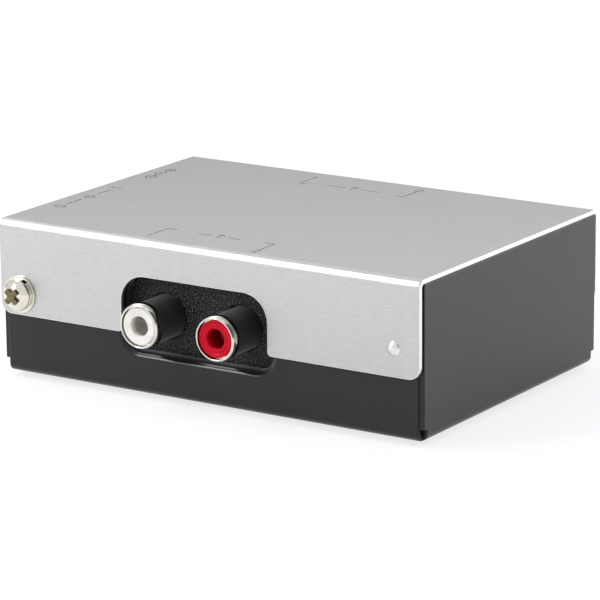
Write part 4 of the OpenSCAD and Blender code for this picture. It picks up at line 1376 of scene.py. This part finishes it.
polarity_y = inlet_at.y
plus_y = polarity_y + SYMBOL_AT
polarity = []
for s in (-1, 1):
    ring_y = polarity_y + s * SYMBOL_AT
    polarity.append((circle(side_x, ring_y, SYMBOL_R, 20), True))
    polarity.append(([(side_x, ring_y - BAR), (side_x, ring_y + BAR)], False))
    polarity.append(([(side_x, ring_y - s * (SYMBOL_R + LINK_GAP)),
                      (side_x, polarity_y + s * LINK_END)], False))
for start, end in ((-BAR, -PLUS_GAP), (PLUS_GAP, BAR)):
    polarity.append(([(side_x + start, plus_y), (side_x + end, plus_y)], False))
polarity.append((arc(side_x, polarity_y, SOCKET_R, start=50, end=310, count=18), False))
polarity.append((circle(side_x, polarity_y, PIN_R, 12), True))
print_mark("inlet_polarity_mark", polarity)

# %% [markdown]
# ## Camera
# A long lens from some distance away keeps the case's edges nearly parallel, as a product
# picture does. The camera is placed by its angle round the object and over the horizon,
# and turned a little about its own axis. Its distance and its target are in millimetres.

# %% Place the camera
AZIMUTH = radians(33.2274)
ELEVATION = radians(14.6551)
ROLL = radians(-0.5022)
DISTANCE = 645.30
FOCAL = 209.268
SENSOR = 36
target = Vector((0.6716, 0, 13.5585))

backwards = Vector((sin(AZIMUTH) * cos(ELEVATION), -cos(AZIMUTH) * cos(ELEVATION), sin(ELEVATION)))
level = (-backwards).cross(Vector((0, 0, 1))).normalized()
upright = level.cross(-backwards)
right = cos(ROLL) * level + sin(ROLL) * upright
up = cos(ROLL) * upright - sin(ROLL) * level
lens = bpy.data.cameras.new("long_lens")
lens.lens = FOCAL
lens.sensor_width = SENSOR
lens.sensor_fit = "HORIZONTAL"
lens.clip_start = 0.01
camera = bpy.data.objects.new("long_lens", lens)
bpy.context.collection.objects.link(camera)
camera.matrix_world = Matrix((
    (right.x, up.x, backwards.x, (target.x + backwards.x * DISTANCE) * MM),
    (right.y, up.y, backwards.y, (target.y + backwards.y * DISTANCE) * MM),
    (right.z, up.z, backwards.z, (target.z + backwards.z * DISTANCE) * MM),
    (0, 0, 0, 1)))
bpy.context.scene.camera = camera
print("camera at", [round(c, 4) for c in camera.matrix_world.translation])

# %% [markdown]
# ## Floor and light
# The object stands on a white sweep under soft light. The floor is a diffuse white sheet,
# and where the camera or a reflection sees it, some of its white is its own, so that it
# stays white and still takes the object's shadow. Four softboxes hang round the object. The
# front and edge ones draw the white line along the folded edge and the highlights on the
# jacks and the screw. The one behind is wide and weak, so the brushed top fades towards the
# back, and the one on the right lifts the far end of the side wall. The world gives the even
# light of a pale room. Polished pieces also show two dim parts of that room: one behind the
# object to the left, and one above it to the right.

# %% Tell the rays apart
def kinds_of_ray(tree):
    """Sockets that are 1 for the camera's own rays, and for reflected or refracted ones."""
    path = add(tree, "ShaderNodeLightPath")
    reflected = add(tree, "ShaderNodeMath", {0: path.outputs["Is Glossy Ray"],
                                             1: path.outputs["Is Transmission Ray"]},
                    operation="ADD", use_clamp=True)
    return path.outputs["Is Camera Ray"], reflected.outputs[0]


# %% Lay the floor
FLOOR_SIZE = 5.0
SHEET_WHITE = 0.8
SEEN_OWN = 0.76
SEEN_WHITE = 0.26
REFLECTED_OWN = 0.18
REFLECTED_WHITE = 0.85


def sweep_paper():
    """White paper whose own glow depends on the kind of ray that meets it."""
    finish = bpy.data.materials.new("white_sweep_paper")
    finish.use_nodes = True
    tree = finish.node_tree
    tree.nodes.clear()
    seen, reflected = kinds_of_ray(tree)
    white = add(tree, "ShaderNodeMix", {0: seen, VALUE_A: SHEET_WHITE, VALUE_B: SEEN_WHITE},
                data_type="FLOAT")
    white = add(tree, "ShaderNodeMix", {0: reflected, VALUE_A: white.outputs[0],
                                        VALUE_B: REFLECTED_WHITE}, data_type="FLOAT")
    own = add(tree, "ShaderNodeMath", {0: seen, 1: SEEN_OWN}, operation="MULTIPLY")
    own = add(tree, "ShaderNodeMath", {0: reflected, 1: REFLECTED_OWN, 2: own.outputs[0]},
              operation="MULTIPLY_ADD")
    sheet = add(tree, "ShaderNodeBsdfDiffuse", {"Color": white.outputs[0]})
    glow = add(tree, "ShaderNodeEmission", {"Color": (1, 1, 1, 1), "Strength": own.outputs[0]})
    both = add(tree, "ShaderNodeAddShader", {0: sheet.outputs[0], 1: glow.outputs[0]})
    add(tree, "ShaderNodeOutputMaterial", {"Surface": both.outputs[0]})
    return finish


floor_mesh = bpy.data.meshes.new("floor")
half = FLOOR_SIZE / 2
floor_mesh.from_pydata([(-half, -half, 0), (half, -half, 0), (half, half, 0), (-half, half, 0)],
                       [], [(0, 1, 2, 3)])
floor_mesh.materials.append(sweep_paper())
floor = bpy.data.objects.new("floor", floor_mesh)
bpy.context.collection.objects.link(floor)

# %% Hang the softboxes
def softbox(name, towards, away, width, height, power):
    """A rectangular lamp that faces the object, unseen by the camera. Sizes are in metres."""
    lamp = bpy.data.lights.new(name, "AREA")
    lamp.shape = "RECTANGLE"
    lamp.size = width
    lamp.size_y = height
    lamp.energy = power
    box = bpy.data.objects.new(name, lamp)
    bpy.context.collection.objects.link(box)
    direction = Vector(towards).normalized()
    box.location = direction * away + target * MM
    box.rotation_euler = direction.to_track_quat("Z", "Y").to_euler()
    box.visible_camera = False
    print(f"{name}: {power} W at {[round(c, 2) for c in box.location]}")


softbox("front_softbox", (-0.56, -0.70, 0.44), away=0.7, width=0.2, height=0.2, power=1.5)
softbox("edge_softbox", (-0.53, -0.253, 0.809), away=0.5, width=0.2, height=0.16, power=0.6)
softbox("behind_softbox", (-0.47, 0.72, 0.56), away=0.55, width=0.6, height=0.25, power=0.69)
softbox("right_softbox", (0.55, 0.80, 0.2), away=0.7, width=0.5, height=0.25, power=1.2)

# %% Light the room
SEEN_LEVEL = 1.0
ROOM_LEVEL = 0.8
SHEEN_LEVEL = 0.95
DIM_LEVEL = 0.15
DARK_LEVEL = 0.12
behind_left = Vector((-0.62, 0.78, 0.0)).normalized()
right_above = Vector((0.78, -0.10, 0.62)).normalized()


def dimmed(tree, around, towards, wide, narrow, level):
    """A factor that falls to a level round one direction, between two angles in degrees."""
    facing = add(tree, "ShaderNodeVectorMath", {0: around, 1: towards}, operation="DOT_PRODUCT")
    factor = add(tree, "ShaderNodeMapRange", {"Value": facing.outputs["Value"],
                                              "From Min": cos(radians(wide)),
                                              "From Max": cos(radians(narrow)),
                                              "To Min": 1.0, "To Max": level},
                 interpolation_type="SMOOTHSTEP")
    return factor.outputs[0]


def pale_room():
    """The world: an even room, with two dim parts that only reflections show."""
    world = bpy.data.worlds.new("pale_room")
    bpy.context.scene.world = world
    world.use_nodes = True
    tree = world.node_tree
    tree.nodes.clear()
    seen, reflected = kinds_of_ray(tree)
    around = add(tree, "ShaderNodeTexCoord").outputs["Generated"]
    dim = dimmed(tree, around, behind_left, wide=60, narrow=25, level=DIM_LEVEL)
    dark = dimmed(tree, around, right_above, wide=43, narrow=27, level=DARK_LEVEL)
    sheen = add(tree, "ShaderNodeMath", {0: dim, 1: dark}, operation="MULTIPLY")
    sheen = add(tree, "ShaderNodeMath", {0: sheen.outputs[0], 1: SHEEN_LEVEL},
                operation="MULTIPLY")
    lit = add(tree, "ShaderNodeMix", {0: reflected, VALUE_A: ROOM_LEVEL,
                                      VALUE_B: sheen.outputs[0]}, data_type="FLOAT")
    level = add(tree, "ShaderNodeMix", {0: seen, VALUE_A: lit.outputs[0], VALUE_B: SEEN_LEVEL},
                data_type="FLOAT")
    background = add(tree, "ShaderNodeBackground", {"Color": (1, 1, 1, 1),
                                                    "Strength": level.outputs[0]})
    add(tree, "ShaderNodeOutputWorld", {"Surface": background.outputs[0]})


pale_room()
bpy.context.scene.view_settings.view_transform = "Standard"
